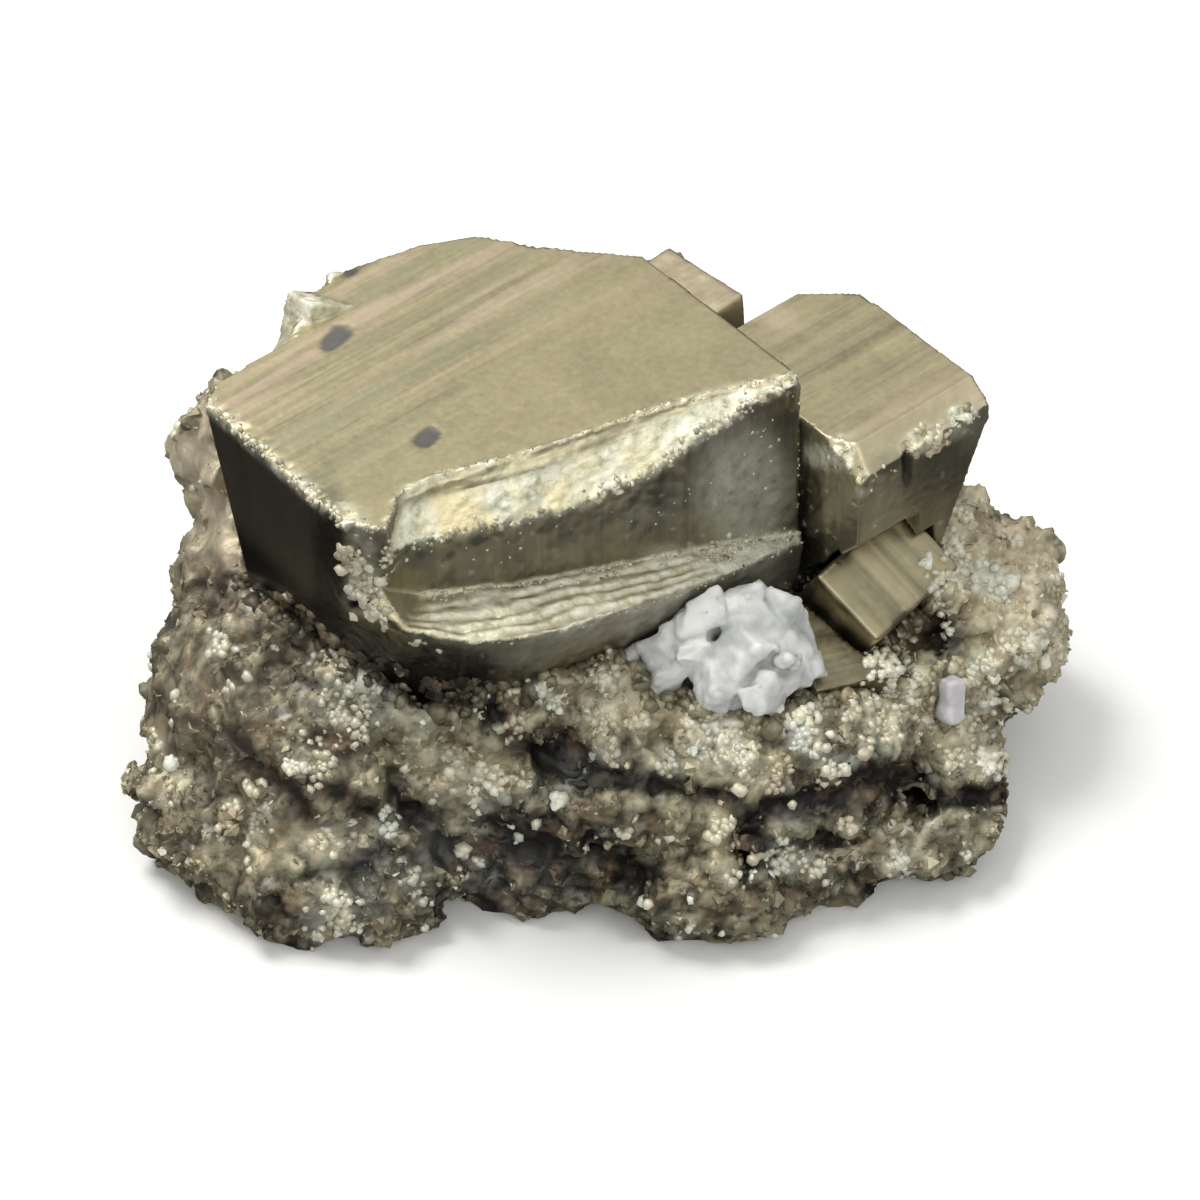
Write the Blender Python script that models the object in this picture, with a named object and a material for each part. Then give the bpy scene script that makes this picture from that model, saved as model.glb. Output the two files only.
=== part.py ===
"""Pyrite hand specimen, in metres, +Z up.

A granular pyrite matrix carries striated pyrite crystals and a cluster of white grains. The shapes are
laid out in millimetres, with +X to the viewer's right and +Y away from the viewer. At the end everything
is moved so that the origin is at the centre of the specimen's box, on the flat face it rests on.
"""

import math
import random

import bmesh
import bpy
from mathutils import Euler, Matrix, Vector, noise

MM = 0.001

# Driving dimensions, in millimetres and degrees
SEAT_GAP = 0.35
CRYSTAL_TURN = 40.0
LARGE_TOP = 33.0
LARGE_FOOT = 13.0
RIGHT_TOP = 29.0
MATRIX_VOXEL = 0.95
MATRIX_TRIANGLES = 4600
CUBE_COUNT = 84
CUBE_SIZES = (1.2, 2.4)
GRAIN_SEED = 7
CUBE_SEED = 5

# The large and right crystals share two level axes: U runs along their striations, V runs across them
# towards the viewer.
U_AXIS = Vector((math.cos(math.radians(CRYSTAL_TURN)), math.sin(math.radians(CRYSTAL_TURN)), 0.0))
V_AXIS = Vector((U_AXIS.y, -U_AXIS.x, 0.0))
CRYSTAL_AXES = Matrix((U_AXIS, V_AXIS, Vector((0, 0, 1)))).transposed()

# Each station is a section of the large crystal square to its striations, at u. It holds (v, z) from the
# top face's back edge to its front edge, the bevel's lower edge, the ledge's inner and outer edges, the
# underside of the ledge, and the foot's front and back.
LARGE_STATIONS = [
    (-20.2, [(-15.3, 33), (-1.2, 33), (-1.1, 31.4), (-1.2, 29.5), (-1.4, 27.6), (-1.8, 25.6), (-6, 22.8), (-12, 20.5)]),
    (-18.6, [(-16.4, 33), (1.3, 33), (1.5, 31.0), (0.3, 27.4), (3.2, 25.6), (1.6, 22.6), (-3, 18), (-14, 16)]),
    (-15.6, [(-16.6, 33), (-0.9, 33), (0.9, 30.1), (0.7, 25.2), (5.9, 24.7), (4.6, 21.4), (1.5, 13), (-15, 13)]),
    (-12.4, [(-16.7, 33), (-0.4, 33), (2.2, 29.9), (2.0, 24.7), (7.4, 24.3), (6.2, 20.9), (3.0, 13), (-15.2, 13)]),
    (-9.8, [(-19.2, 33), (0.6, 33), (3.2, 29.8), (3.0, 24.2), (8.0, 23.7), (6.9, 20.3), (3.8, 13), (-15.8, 13)]),
    (-5.3, [(-19.9, 33), (1.9, 33), (4.4, 29.4), (4.3, 23.4), (8.4, 22.9), (7.4, 19.2), (4.6, 13), (-16.5, 13)]),
    (0.0, [(-18.8, 33), (3.0, 33), (5.6, 30.2), (5.5, 22.3), (8.7, 21.8), (7.8, 17.9), (5.6, 13), (-15.5, 13)]),
    (3.7, [(-16.9, 33), (4.2, 33), (6.2, 31.5), (6.2, 21.4), (8.8, 20.9), (8.0, 16.8), (6.4, 13), (-14, 13)]),
    (7.4, [(-12, 33), (5.5, 33), (6.8, 32.5), (6.9, 20.4), (8.5, 19.9), (7.9, 15.8), (7.0, 13), (-11, 13)]),
    (10.8, [(-8.3, 33), (6.9, 33), (7.3, 32.6), (7.8, 19.5), (8.3, 18.9), (7.8, 15.0), (7.2, 13), (-8, 13)]),
]

# Low steps across the striated faces: distance across the striations, and height above the face.
LARGE_RIDGES = [
    (-15.0, 0.0), (-14.6, -0.3), (-13.4, -0.3), (-12.9, 0.0), (-8.6, 0.0), (-8.3, -0.25), (-5.7, -0.25),
    (-5.35, 0.0), (-3.6, 0.0), (-3.4, -0.2), (-2.4, -0.2), (-2.2, 0.0),
]
RIGHT_RIDGES = [(-0.6, 0.0), (-0.3, -0.25), (1.6, -0.25), (1.9, 0.0), (5.6, 0.0), (5.9, -0.2), (7.9, -0.2), (8.2, 0.0)]
LOW_RIDGES = [(-1.2, 0.0), (-1.0, -0.2), (0.6, -0.2), (0.8, 0.0)]
SMALL_RIDGES = [(1.6, 0.0), (1.8, -0.2), (2.8, -0.2), (3.0, 0.0), (5.4, 0.0), (5.6, -0.2), (6.6, -0.2), (6.8, 0.0)]

# Crystals that overlap the large one at its back: centre in its axes, edge lengths, and turn in degrees.
BACK_CRYSTALS = [
    ((-9.4, -18.0, 31.2), (3.4, 3.0, 4.6), (18, 24, 12)),
    ((-11.4, -17.0, 30.8), (2.4, 2.6, 3.8), (-14, 30, 40)),
    ((-5.6, -18.9, 30.6), (3.6, 2.6, 4.4), (-10, 8, 28)),
    ((12.8, -6.6, 23.3), (5.4, 7.2, 13.4), (3, -2, -3)),
    ((13.2, -9.8, 23.2), (4.4, 4.6, 11.4), (-8, 4, 14)),
]

# Lumps of the matrix: centre and radii.
MATRIX_LUMPS = {
    "core": ((-1, -1, 6), (27, 15, 9.5)),
    "left_mass": ((-18.7, -3, 7.6), (12.0, 13, 10)),
    "left_side": ((-23.2, -8.2, 4.0), (8.0, 8.2, 6.5)),
    "left_foot": ((-17.4, -11.0, 3), (9.0, 8.6, 6)),
    "front_saddle": ((-5, -9.5, 3), (10, 7.2, 6)),
    "front_foot": ((7.6, -10.7, 3), (9.0, 8.8, 6)),
    "right_foot": ((20.0, -6.5, 3.2), (7.6, 8.2, 5.5)),
    "right_fill": ((14.6, -9.4, 3.0), (6.5, 7.0, 5.5)),
    "right_mass": ((22.6, 2.4, 9.0), (9.4, 8.5, 8.0)),
    "right_shoulder": ((21.5, 6.5, 12.0), (6.6, 6, 6.0)),
    "back_mass": ((-3, 9, 8), (22, 9, 10)),
    "left_knob": ((-25.2, 9.4, 19), (3.7, 4.2, 5.8)),
    "left_back": ((-22.8, 5, 11.5), (5.6, 7, 8.5)),
    "under_left": ((-17, -5.4, 13), (8, 7, 6.5)),
    "upper_ledge": ((-8, -7.8, 13.3), (12.5, 6.4, 5.4)),
    "middle_belly": ((-2, -10.4, 8.6), (12, 6.2, 5)),
    "right_ledge": ((10, -8.4, 9.4), (12, 6.8, 5.0)),
}

# Pits and clefts cut into the matrix: centre and radii.
MATRIX_PITS = {
    "front_pit": ((9.6, -14.6, 6.2), (1.2, 3.6, 1.6)),
    "right_pit": ((20.8, -12.6, 6.4), (1.7, 3.4, 0.9)),
    "crystal_pit": ((21.4, -3.0, 14.2), (1.6, 2.4, 1.4)),
    "left_cleft": ((-20.6, -12.8, 9.8), (2.6, 2.6, 0.8)),
    "middle_groove": ((2.6, -17.0, 6.6), (4.8, 3.0, 0.9)),
    "right_groove": ((14.8, -15.0, 6.0), (3.6, 3.0, 0.8)),
}

# White grains that make the main shape of their cluster: centre and edge length.
WHITE_GRAINS = [
    ((6.6, -6.2, 19.0), 3.3),
    ((9.7, -6.0, 19.3), 2.9),
    ((11.7, -6.1, 18.6), 2.6),
    ((4.2, -6.8, 17.4), 3.0),
    ((6.4, -8.0, 17.5), 2.7),
    ((9.2, -8.4, 17.6), 3.1),
    ((11.9, -7.6, 16.8), 3.2),
    ((8.0, -9.6, 16.0), 2.9),
    ((10.6, -9.6, 15.6), 3.0),
    ((13.4, -7.6, 15.6), 2.4),
    ((2.0, -6.6, 16.2), 2.3),
    ((4.2, -8.6, 16.0), 2.4),
]
WHITE_EXTRA = 12
CHIP_CENTRE = (23.4, -6.4, 11.0)


def face_outward(bm):
    bmesh.ops.recalc_face_normals(bm, faces=bm.faces)
    if bm.calc_volume(signed=True) < 0:
        bmesh.ops.reverse_faces(bm, faces=bm.faces)
    bm.normal_update()


def new_object(name, bm):
    """A mesh object from a bmesh that is in millimetres."""
    mesh = bpy.data.meshes.new(name)
    face_outward(bm)
    bmesh.ops.scale(bm, vec=(MM, MM, MM), verts=bm.verts)
    bm.to_mesh(mesh)
    bm.free()
    obj = bpy.data.objects.new(name, mesh)
    bpy.context.scene.collection.objects.link(obj)
    return obj


def new_helper(name, bm):
    """A cutter or guide, which isn't part of the specimen."""
    obj = new_object(name, bm)
    obj.hide_render = True
    obj.display_type = "WIRE"
    return obj


def boolean(obj, other, operation, overlapping=False):
    modifier = obj.modifiers.new(f"{operation.lower()}_{other.name}", "BOOLEAN")
    modifier.operation = operation
    modifier.object = other
    modifier.use_self = overlapping


def apply_modifiers(obj):
    """Replaces the object's mesh with what its modifiers make of it."""
    bpy.context.view_layer.update()
    graph = bpy.context.evaluated_depsgraph_get()
    mesh = bpy.data.meshes.new_from_object(obj.evaluated_get(graph))
    obj.modifiers.clear()
    obj.data = mesh


def grow_body(bm, amount):
    """Moves the faces of a plain body out by about this much."""
    face_outward(bm)
    moves = [vert.normal * vert.calc_shell_factor() * amount for vert in bm.verts]
    for vert, move in zip(bm.verts, moves):
        vert.co += move


def keep_largest_piece(obj):
    """Drops crumbs that cutting has parted from the body."""
    bm = bmesh.new()
    bm.from_mesh(obj.data)
    unseen = set(bm.faces)
    pieces = []
    while unseen:
        piece = [unseen.pop()]
        for face in piece:
            for edge in face.edges:
                if len(edge.link_faces) == 2:
                    new_faces = unseen.intersection(edge.link_faces)
                    unseen -= new_faces
                    piece.extend(new_faces)
        pieces.append(piece)
    largest = set(max(pieces, key=len))
    crumbs = [face for face in bm.faces if face not in largest]
    bmesh.ops.delete(bm, geom=crumbs, context="FACES")
    bm.to_mesh(obj.data)
    bm.free()


def cut_plane(bm, point, outward, remove=True):
    """Cuts the body flat at a plane and closes it, or only draws the cut on its faces."""
    cut = bmesh.ops.bisect_plane(
        bm,
        geom=bm.verts[:] + bm.edges[:] + bm.faces[:],
        plane_co=Vector(point),
        plane_no=Vector(outward),
        clear_outer=remove,
    )
    if remove:
        rim = [item for item in cut["geom_cut"] if isinstance(item, bmesh.types.BMEdge)]
        bmesh.ops.holes_fill(bm, edges=rim)


def add_ridges(bm, ridges, level, across):
    """Low steps on the face at z = level. They follow the striations, which run square to the axis across."""
    outward = [0.0, 0.0, 0.0]
    outward[across] = 1.0
    for distance, _ in ridges:
        cut_plane(bm, [distance * part for part in outward], outward, remove=False)
    for vert in bm.verts:
        if abs(vert.co.z - level) > 1e-4:
            continue
        for (near, low), (far, high) in zip(ridges, ridges[1:]):
            if near <= vert.co[across] <= far:
                vert.co.z += low + (high - low) * (vert.co[across] - near) / (far - near)
                break
    bmesh.ops.triangulate(bm, faces=bm.faces)


def turned_block(bm, centre, size, turn):
    """Adds a block to bm, turned by degrees about X, Y and Z."""
    angles = Euler([math.radians(angle) for angle in turn])
    place = Matrix.Translation(centre) @ angles.to_matrix().to_4x4() @ Matrix.Diagonal((*size, 1))
    bmesh.ops.create_cube(bm, size=1.0, matrix=place)


def ellipsoids(bm, shapes, subdivisions):
    for centre, radii in shapes:
        place = Matrix.Translation(centre) @ Matrix.Diagonal((*radii, 1))
        bmesh.ops.create_icosphere(bm, subdivisions=subdivisions, radius=1.0, matrix=place)


def block(low, high):
    bm = bmesh.new()
    bmesh.ops.create_cube(bm, size=1.0)
    for vert in bm.verts:
        vert.co = Vector([a if c < 0 else b for c, a, b in zip(vert.co, low, high)])
    return bm


def place_in(bm, axes, origin=(0, 0, 0)):
    for vert in bm.verts:
        vert.co = axes @ vert.co + Vector(origin)
    return bm


def crystal_object(name, bm, grow, ridges, level, across, axes, origin=(0, 0, 0)):
    """The crystal with steps on its top or, to cut a seat for it, its plain body grown on every side."""
    if grow:
        grow_body(bm, grow)
        return new_helper(f"{name}_seat", place_in(bm, axes, origin))
    add_ridges(bm, ridges, level, across)
    return new_object(name, place_in(bm, axes, origin))


def make_large_crystal(grow=0.0):
    """A body lofted along its striations."""
    bm = bmesh.new()
    loops = [[bm.verts.new((u, v, z)) for v, z in section] for u, section in LARGE_STATIONS]
    count = len(loops[0])
    for near, far in zip(loops, loops[1:]):
        for i in range(count):
            j = (i + 1) % count
            bm.faces.new((near[i], near[j], far[j], far[i]))
    bm.faces.new(loops[0])
    bm.faces.new(reversed(loops[-1]))
    return crystal_object("large_crystal", bm, grow, LARGE_RIDGES, LARGE_TOP, 1, CRYSTAL_AXES)


def back_crystals(grow=0.0):
    """Helpers in the shape of the smaller crystals at the large one's back."""
    helpers = []
    for centre, size, turn in BACK_CRYSTALS:
        bm = bmesh.new()
        turned_block(bm, centre, [edge + 2 * grow for edge in size], turn)
        helpers.append(new_helper("back_crystal", place_in(bm, CRYSTAL_AXES)))
    return helpers


def make_right_crystal(grow=0.0):
    """The second cube: two cut corners, a bevelled front edge and an undercut front."""
    bm = block((11.15, -2.3, LARGE_FOOT + 1), (22.6, 13.0, RIGHT_TOP))
    cut_plane(bm, (19.2, -2.3, 0), (0.62, -0.78, 0))
    cut_plane(bm, (0, 11.2, RIGHT_TOP), (0, 0.6, 0.8))
    cut_plane(bm, (11.15, 9.2, RIGHT_TOP), (-0.62, 0.35, 0.7))
    cut_plane(bm, (22.4, 0, 26.0), (0.93, 0, -0.36))
    right = crystal_object("right_crystal", bm, grow, RIGHT_RIDGES, RIGHT_TOP, 1, CRYSTAL_AXES)
    wedge = block((8, 4, 0), (16.6, 16, 25))
    cut_plane(wedge, (0, 13, 21.7), (0, -0.77, 0.64))
    grow_body(wedge, -grow)
    boolean(right, new_helper(f"{right.name}_undercut", place_in(wedge, CRYSTAL_AXES)), "DIFFERENCE")
    return right


def make_small_crystal(grow=0.0):
    """A tilted block, whose striated top looks up, to the front and to the right."""
    along = Vector((5.7, 6.2, 0.9)).normalized()
    down = Vector((4.1, -3.1, -2.8))
    down = (down - along * down.dot(along)).normalized()
    axes = Matrix((along, down, along.cross(down) * -1)).transposed()
    bm = block((-0.2, -0.5, -7), (8.4, 5.5, 0))
    return crystal_object("small_crystal", bm, grow, SMALL_RIDGES, 0.0, 0, axes, (14.7, -3.3, 19.2))


def make_low_crystal(grow=0.0):
    """A low block, which shows between the white cluster and the small crystal."""
    bm = block((-2.8, -3.2, -6), (3.6, 3.4, 0))
    turn = Euler([math.radians(angle) for angle in (14, 6, 24)]).to_matrix()
    return crystal_object("low_crystal", bm, grow, LOW_RIDGES, 0.0, 1, turn, (15.6, -5.4, 15.4))


def make_chip(grow=0.0):
    bm = bmesh.new()
    turned_block(bm, CHIP_CENTRE, [edge + 2 * grow for edge in (1.2, 1.4, 3.0)], (-20, 12, 30))
    return new_helper("white_chip_seat", bm) if grow else new_object("white_chip", bm)


def white_grains(grow):
    """The white cluster's grains as overlapping blocks, each grown by the same amount on every side."""
    chance = random.Random(GRAIN_SEED)
    grains = list(WHITE_GRAINS)
    for _ in range(WHITE_EXTRA):
        centre, size = chance.choice(WHITE_GRAINS)
        way = Vector([chance.uniform(-1, 1) for _ in range(3)])
        way.z = abs(way.z) * 0.6
        grains.append((tuple(Vector(centre) + way.normalized() * size * 0.55), size * chance.uniform(0.4, 0.62)))
    bm = bmesh.new()
    for centre, size in grains:
        edges = [size * chance.uniform(0.8, 1.1) + 2 * grow for _ in range(3)]
        turn = [chance.uniform(0, 90) for _ in range(3)]
        turned_block(bm, centre, edges, turn)
    return bm


def make_white_cluster():
    """One solid from overlapping grains."""
    cluster = new_object("white_cluster", white_grains(0.0))
    speck = bmesh.new()
    turned_block(speck, WHITE_GRAINS[0][0], (0.5, 0.5, 0.5), (0, 0, 0))
    boolean(cluster, new_helper("white_core", speck), "UNION", overlapping=True)
    return cluster


def roughen(obj):
    """Lumps and pits: moves each point of the matrix along its normal by layered noise."""
    for vert in obj.data.vertices:
        at = vert.co / MM
        swell = noise.fractal(at * 0.16, 1.0, 2.0, 2) * 0.8
        crag = noise.cell(at * 0.5 + Vector((noise.noise(at * 0.4),) * 3)) * 0.55
        pit = -1.6 * max(0.0, noise.noise(at * 0.33 + Vector((7.3, 2.1, 5.5))) - 0.28)
        vert.co += vert.normal * (swell + crag + pit) * MM


def small_cubes(obj):
    """Cubes half sunk in the matrix, in a fixed random arrangement."""
    chance = random.Random(CUBE_SEED)
    obj.data.calc_loop_triangles()
    triangles = [t for t in obj.data.loop_triangles if t.center.z > 1.5 * MM]
    weights = [t.area for t in triangles]
    bm = bmesh.new()
    for triangle in chance.choices(triangles, weights, k=CUBE_COUNT):
        size = chance.uniform(*CUBE_SIZES)
        centre = triangle.center / MM - triangle.normal * size * 0.12
        turned_block(bm, centre, (size, size, size), [chance.uniform(0, 90) for _ in range(3)])
    return bm


def make_matrix():
    bm = bmesh.new()
    ellipsoids(bm, MATRIX_LUMPS.values(), subdivisions=4)
    matrix = new_object("matrix", bm)
    remesh = matrix.modifiers.new("remesh", "REMESH")
    remesh.mode = "VOXEL"
    remesh.voxel_size = MATRIX_VOXEL * MM
    apply_modifiers(matrix)
    roughen(matrix)
    decimate = matrix.modifiers.new("decimate", "DECIMATE")
    decimate.ratio = MATRIX_TRIANGLES / (2 * len(matrix.data.polygons))
    apply_modifiers(matrix)
    boolean(matrix, new_helper("cubes", small_cubes(matrix)), "UNION", overlapping=True)
    pits = bmesh.new()
    ellipsoids(pits, MATRIX_PITS.values(), subdivisions=2)
    boolean(matrix, new_helper("pits", pits), "DIFFERENCE", overlapping=True)
    return matrix


def cut_flat_base(obj):
    bm = bmesh.new()
    bm.from_mesh(obj.data)
    cut_plane(bm, (0, 0, 0), (0, 0, -1))
    bm.to_mesh(obj.data)
    bm.free()


def give_material(obj, name, colour, roughness, metallic):
    material = bpy.data.materials.new(name)
    material.use_nodes = True
    shader = material.node_tree.nodes["Principled BSDF"]
    shader.inputs["Base Color"].default_value = (*colour, 1.0)
    shader.inputs["Roughness"].default_value = roughness
    shader.inputs["Metallic"].default_value = metallic
    obj.data.materials.clear()
    obj.data.materials.append(material)


def centre_on_origin(objects):
    """Puts the origin at the centre of the box in X and Y. The base is already at z = 0."""
    corners = [vert.co for obj in objects for vert in obj.data.vertices]
    shift = [-(min(c[i] for c in corners) + max(c[i] for c in corners)) / 2 for i in (0, 1)]
    for obj in objects:
        obj.data.transform(Matrix.Translation((*shift, 0)))


def main():
    for obj in list(bpy.data.objects):
        bpy.data.objects.remove(obj)
    large = make_large_crystal()
    right = make_right_crystal()
    small = make_small_crystal()
    low = make_low_crystal()
    white = make_white_cluster()
    chip = make_chip()
    matrix = make_matrix()
    for crystal in back_crystals():
        boolean(large, crystal, "UNION")
    large_seat = make_large_crystal(SEAT_GAP)
    right_seat = make_right_crystal(SEAT_GAP)
    small_seat = make_small_crystal(SEAT_GAP)
    low_seat = make_low_crystal(SEAT_GAP)
    neighbours = {
        right: [small_seat],
        low: [small_seat, right_seat],
        large: [right_seat, small_seat, low_seat],
        white: [large_seat, small_seat, low_seat],
    }
    for obj, cutters in neighbours.items():
        for seat in cutters:
            boolean(obj, seat, "DIFFERENCE")
    seats = [large_seat, right_seat, small_seat, low_seat, make_chip(SEAT_GAP), *back_crystals(SEAT_GAP)]
    for seat in seats:
        boolean(matrix, seat, "DIFFERENCE")
    boolean(matrix, new_helper("white_seat", white_grains(SEAT_GAP)), "DIFFERENCE", overlapping=True)
    for obj in (large, right, low, white, matrix):
        apply_modifiers(obj)
    cut_flat_base(matrix)
    for obj in (large, right, low, white, matrix):
        keep_largest_piece(obj)
    for crystal in (large, right, small, low):
        give_material(crystal, f"pyrite_{crystal.name}", (0.62, 0.54, 0.36), 0.32, 1.0)
    give_material(matrix, "pyrite_grains", (0.46, 0.40, 0.26), 0.42, 1.0)
    for grain in (white, chip):
        give_material(grain, f"calcite_{grain.name}", (0.86, 0.87, 0.89), 0.45, 0.0)
    centre_on_origin([large, right, small, low, white, chip, matrix])


main()
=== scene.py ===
import math

import bmesh
import bpy
import numpy as np
from mathutils import Euler, Matrix, Vector
from mathutils.bvhtree import BVHTree


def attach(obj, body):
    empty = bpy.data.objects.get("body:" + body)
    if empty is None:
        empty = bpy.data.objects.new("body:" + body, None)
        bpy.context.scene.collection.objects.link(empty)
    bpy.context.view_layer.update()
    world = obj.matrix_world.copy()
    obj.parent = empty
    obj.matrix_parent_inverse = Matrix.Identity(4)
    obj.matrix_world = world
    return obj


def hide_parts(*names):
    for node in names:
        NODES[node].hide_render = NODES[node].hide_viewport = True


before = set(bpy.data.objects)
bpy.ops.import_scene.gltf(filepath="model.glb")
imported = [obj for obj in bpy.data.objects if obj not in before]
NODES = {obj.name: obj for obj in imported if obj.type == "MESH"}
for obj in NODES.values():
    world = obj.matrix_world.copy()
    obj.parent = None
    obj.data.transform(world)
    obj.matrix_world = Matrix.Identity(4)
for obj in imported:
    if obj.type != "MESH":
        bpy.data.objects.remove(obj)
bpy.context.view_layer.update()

MM = 0.001

# The camera looks down on the specimen. Image places are in pixels of a 1200 x 1200 frame.
ELEVATION = math.radians(45)
DISTANCE = 0.300
FOCAL_PIXELS = 4461.0
FRAME_PIXELS = 1200
AIM = Vector((0.06, 0.17, 14.0)) * MM
FORWARD = Vector((0, math.cos(ELEVATION), -math.sin(ELEVATION)))
UPWARD = Vector((0, math.sin(ELEVATION), math.cos(ELEVATION)))
CAMERA_AT = AIM - FORWARD * DISTANCE

# Axes of the large and right crystals: along their striations, across them towards the viewer, and up. They
# start at MOVE in the frame. The specimen's sizes are in millimetres from here on.
TURN = math.radians(40)
LEVEL_AXES = np.array(
    [[math.cos(TURN), math.sin(TURN), 0], [math.sin(TURN), -math.cos(TURN), 0], [0, 0, 1]]
)
MOVE = np.array([0.06, 0.17, 0.0])
LARGE_TOP = 33.0
RIGHT_TOP = 29.0
# The large crystal's front, in its axes: u, v of the top face's edge, v and z of the bevel's lower edge, v of
# the ledge's inner and outer edges.
FRONT = np.array(
    [
        (-20.2, -1.2, -1.2, 29.5, -1.4, -1.8),
        (-18.6, 1.3, 0.3, 27.4, 0.3, 3.2),
        (-15.6, -0.9, 0.9, 30.1, 0.7, 5.9),
        (-12.4, -0.4, 2.2, 29.9, 2.0, 7.4),
        (-9.8, 0.6, 3.2, 29.8, 3.0, 8.0),
        (-5.3, 1.9, 4.4, 29.4, 4.3, 8.4),
        (0.0, 3.0, 5.6, 30.2, 5.5, 8.7),
        (3.7, 4.2, 6.2, 31.5, 6.2, 8.8),
        (7.4, 5.5, 6.8, 32.5, 6.9, 8.5),
        (10.8, 6.9, 7.3, 32.6, 7.8, 8.3),
    ]
)
LEDGE_ENDS = (-18.6, 10.8)


# Noise
def hashed(cell, seed):
    """A repeatable number from 0 to 1 for each whole-number place."""
    h = cell[:, 0] * 374761393 + cell[:, 1] * 668265263 + cell[:, 2] * 974634777 + seed * 144665
    h = (h ^ (h >> 13)) * 1274126177
    h = (h ^ (h >> 16)) * 974634777
    return ((h ^ (h >> 15)) & 0xFFFFFF) / float(0x1000000)


def hashed_rows(cell, seed):
    """Three such numbers for each place."""
    return np.stack([hashed(cell, seed + axis) for axis in range(3)], 1)


def noise(places, seed=0):
    """Smooth noise from -1 to 1."""
    base = np.floor(places).astype(np.int64)
    part = places - base
    part = part * part * (3 - 2 * part)
    total = np.zeros(len(places))
    for corner in np.ndindex(2, 2, 2):
        corner = np.array(corner)
        weight = np.prod(np.where(corner == 1, part, 1 - part), axis=1)
        total += weight * hashed(base + corner, seed)
    return total * 2 - 1


def layered(places, seed=0, octaves=3, fall=0.5):
    total = np.zeros(len(places))
    share = 1.0
    for octave in range(octaves):
        total += share * noise(places * 2.03**octave + 17.3 * octave, seed + octave)
        share *= fall
    return total


def cells(places, seed=0):
    """The nearest random cell of each place: its lattice key, the way from its middle, and how deep in it."""
    base = np.floor(places).astype(np.int64)
    nearest = np.full(len(places), 9.0)
    second = np.full(len(places), 9.0)
    key = base.copy()
    way = np.zeros_like(places)
    for offset in np.ndindex(3, 3, 3):
        cell = base + np.array(offset) - 1
        gap = places - (cell + hashed_rows(cell, seed))
        distance = np.linalg.norm(gap, axis=1)
        closer = distance < nearest
        second = np.where(closer, nearest, np.minimum(second, distance))
        nearest = np.where(closer, distance, nearest)
        key[closer] = cell[closer]
        way[closer] = gap[closer]
    return key, way, second - nearest


def facets(places, normals, seed, tilt, step):
    """The relief of a mosaic of grains: each cell is a tilted facet at its own height."""
    key, way, depth = cells(places, seed)
    slope = hashed_rows(key, seed + 10) * 2 - 1
    slope -= normals * np.einsum("ij,ij->i", slope, normals)[:, None]
    level = hashed(key, seed + 20) * 2 - 1
    return tilt * np.einsum("ij,ij->i", slope, way) + step * level, key, depth


def lines_noise(along, across, seed):
    """Noise that is drawn out in one direction."""
    return noise(np.stack([along, across, across * 0], 1), seed)


def crumble(places, amount, size, seed):
    """Pushes in random directions, one for each small grain."""
    key, _, depth = cells(places / size, seed)
    way = hashed_rows(key, seed + 30) * 2 - 1
    return way * (amount * smoothstep(0, 0.15, depth))[:, None]


def smoothstep(low, high, values):
    t = np.clip((values - low) / (high - low), 0, 1)
    return t * t * (3 - 2 * t)


def bell(values, middle, width):
    """1 at the middle and near 0 beyond twice the width."""
    return np.exp(-(((values - middle) / width) ** 2))


# Meshes
def new_object(name, data):
    obj = bpy.data.objects.new(name, data)
    bpy.context.scene.collection.objects.link(obj)
    return obj


def rows_of(collection, key, width=3, kind=float):
    """A property of each thing in a mesh's collection, as rows."""
    found = np.empty(len(collection) * width, kind)
    collection.foreach_get(key, found)
    return found.reshape(-1, width)


def places_of(mesh):
    return rows_of(mesh.vertices, "co")


def normals_of(mesh):
    return rows_of(mesh.vertex_normals, "vector")


def set_places(mesh, places):
    mesh.vertices.foreach_set("co", places.astype(np.float32).ravel())
    mesh.update()


def set_attribute(obj, name, values):
    """A number or a vector for each corner."""
    values = np.asarray(values, np.float32)
    kind, key = ("FLOAT", "value") if values.ndim == 1 else ("FLOAT_VECTOR", "vector")
    obj.data.attributes.new(name, kind, "POINT").data.foreach_set(key, values.ravel())


def dressed(obj, material, values):
    """Smooths a surface's shading and gives it its material and the values that the material reads."""
    obj.data.shade_smooth()
    obj.data.materials.clear()
    obj.data.materials.append(material)
    for name, data in values.items():
        set_attribute(obj, name, data)
    return obj


def welded_copy(node):
    """A CAD node's mesh with its corners joined, in millimetres."""
    bm = bmesh.new()
    bm.from_mesh(NODES[node].data)
    bmesh.ops.remove_doubles(bm, verts=bm.verts, dist=1e-7)
    bmesh.ops.scale(bm, vec=(1 / MM,) * 3, verts=bm.verts)
    mesh = bpy.data.meshes.new(node)
    bm.to_mesh(mesh)
    bm.free()
    return mesh


def tree_of(meshes, unit=1.0):
    """One tree of several meshes, whose places are divided by the unit."""
    points, faces = [], []
    for mesh in meshes:
        start = len(points)
        points += [v.co / unit for v in mesh.vertices]
        faces += [[start + i for i in p.vertices] for p in mesh.polygons]
    return BVHTree.FromPolygons(points, faces)


def remeshed(name, mesh, voxel):
    """An even mesh of about one voxel per face, and the tree of the mesh that it came from."""
    obj = new_object(name, mesh)
    modifier = obj.modifiers.new("voxels", "REMESH")
    modifier.mode = "VOXEL"
    modifier.voxel_size = voxel
    bpy.context.view_layer.update()
    graph = bpy.context.evaluated_depsgraph_get()
    fine = bpy.data.meshes.new_from_object(obj.evaluated_get(graph))
    tree = tree_of([mesh])
    obj.modifiers.clear()
    obj.data = fine
    return obj, tree


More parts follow.
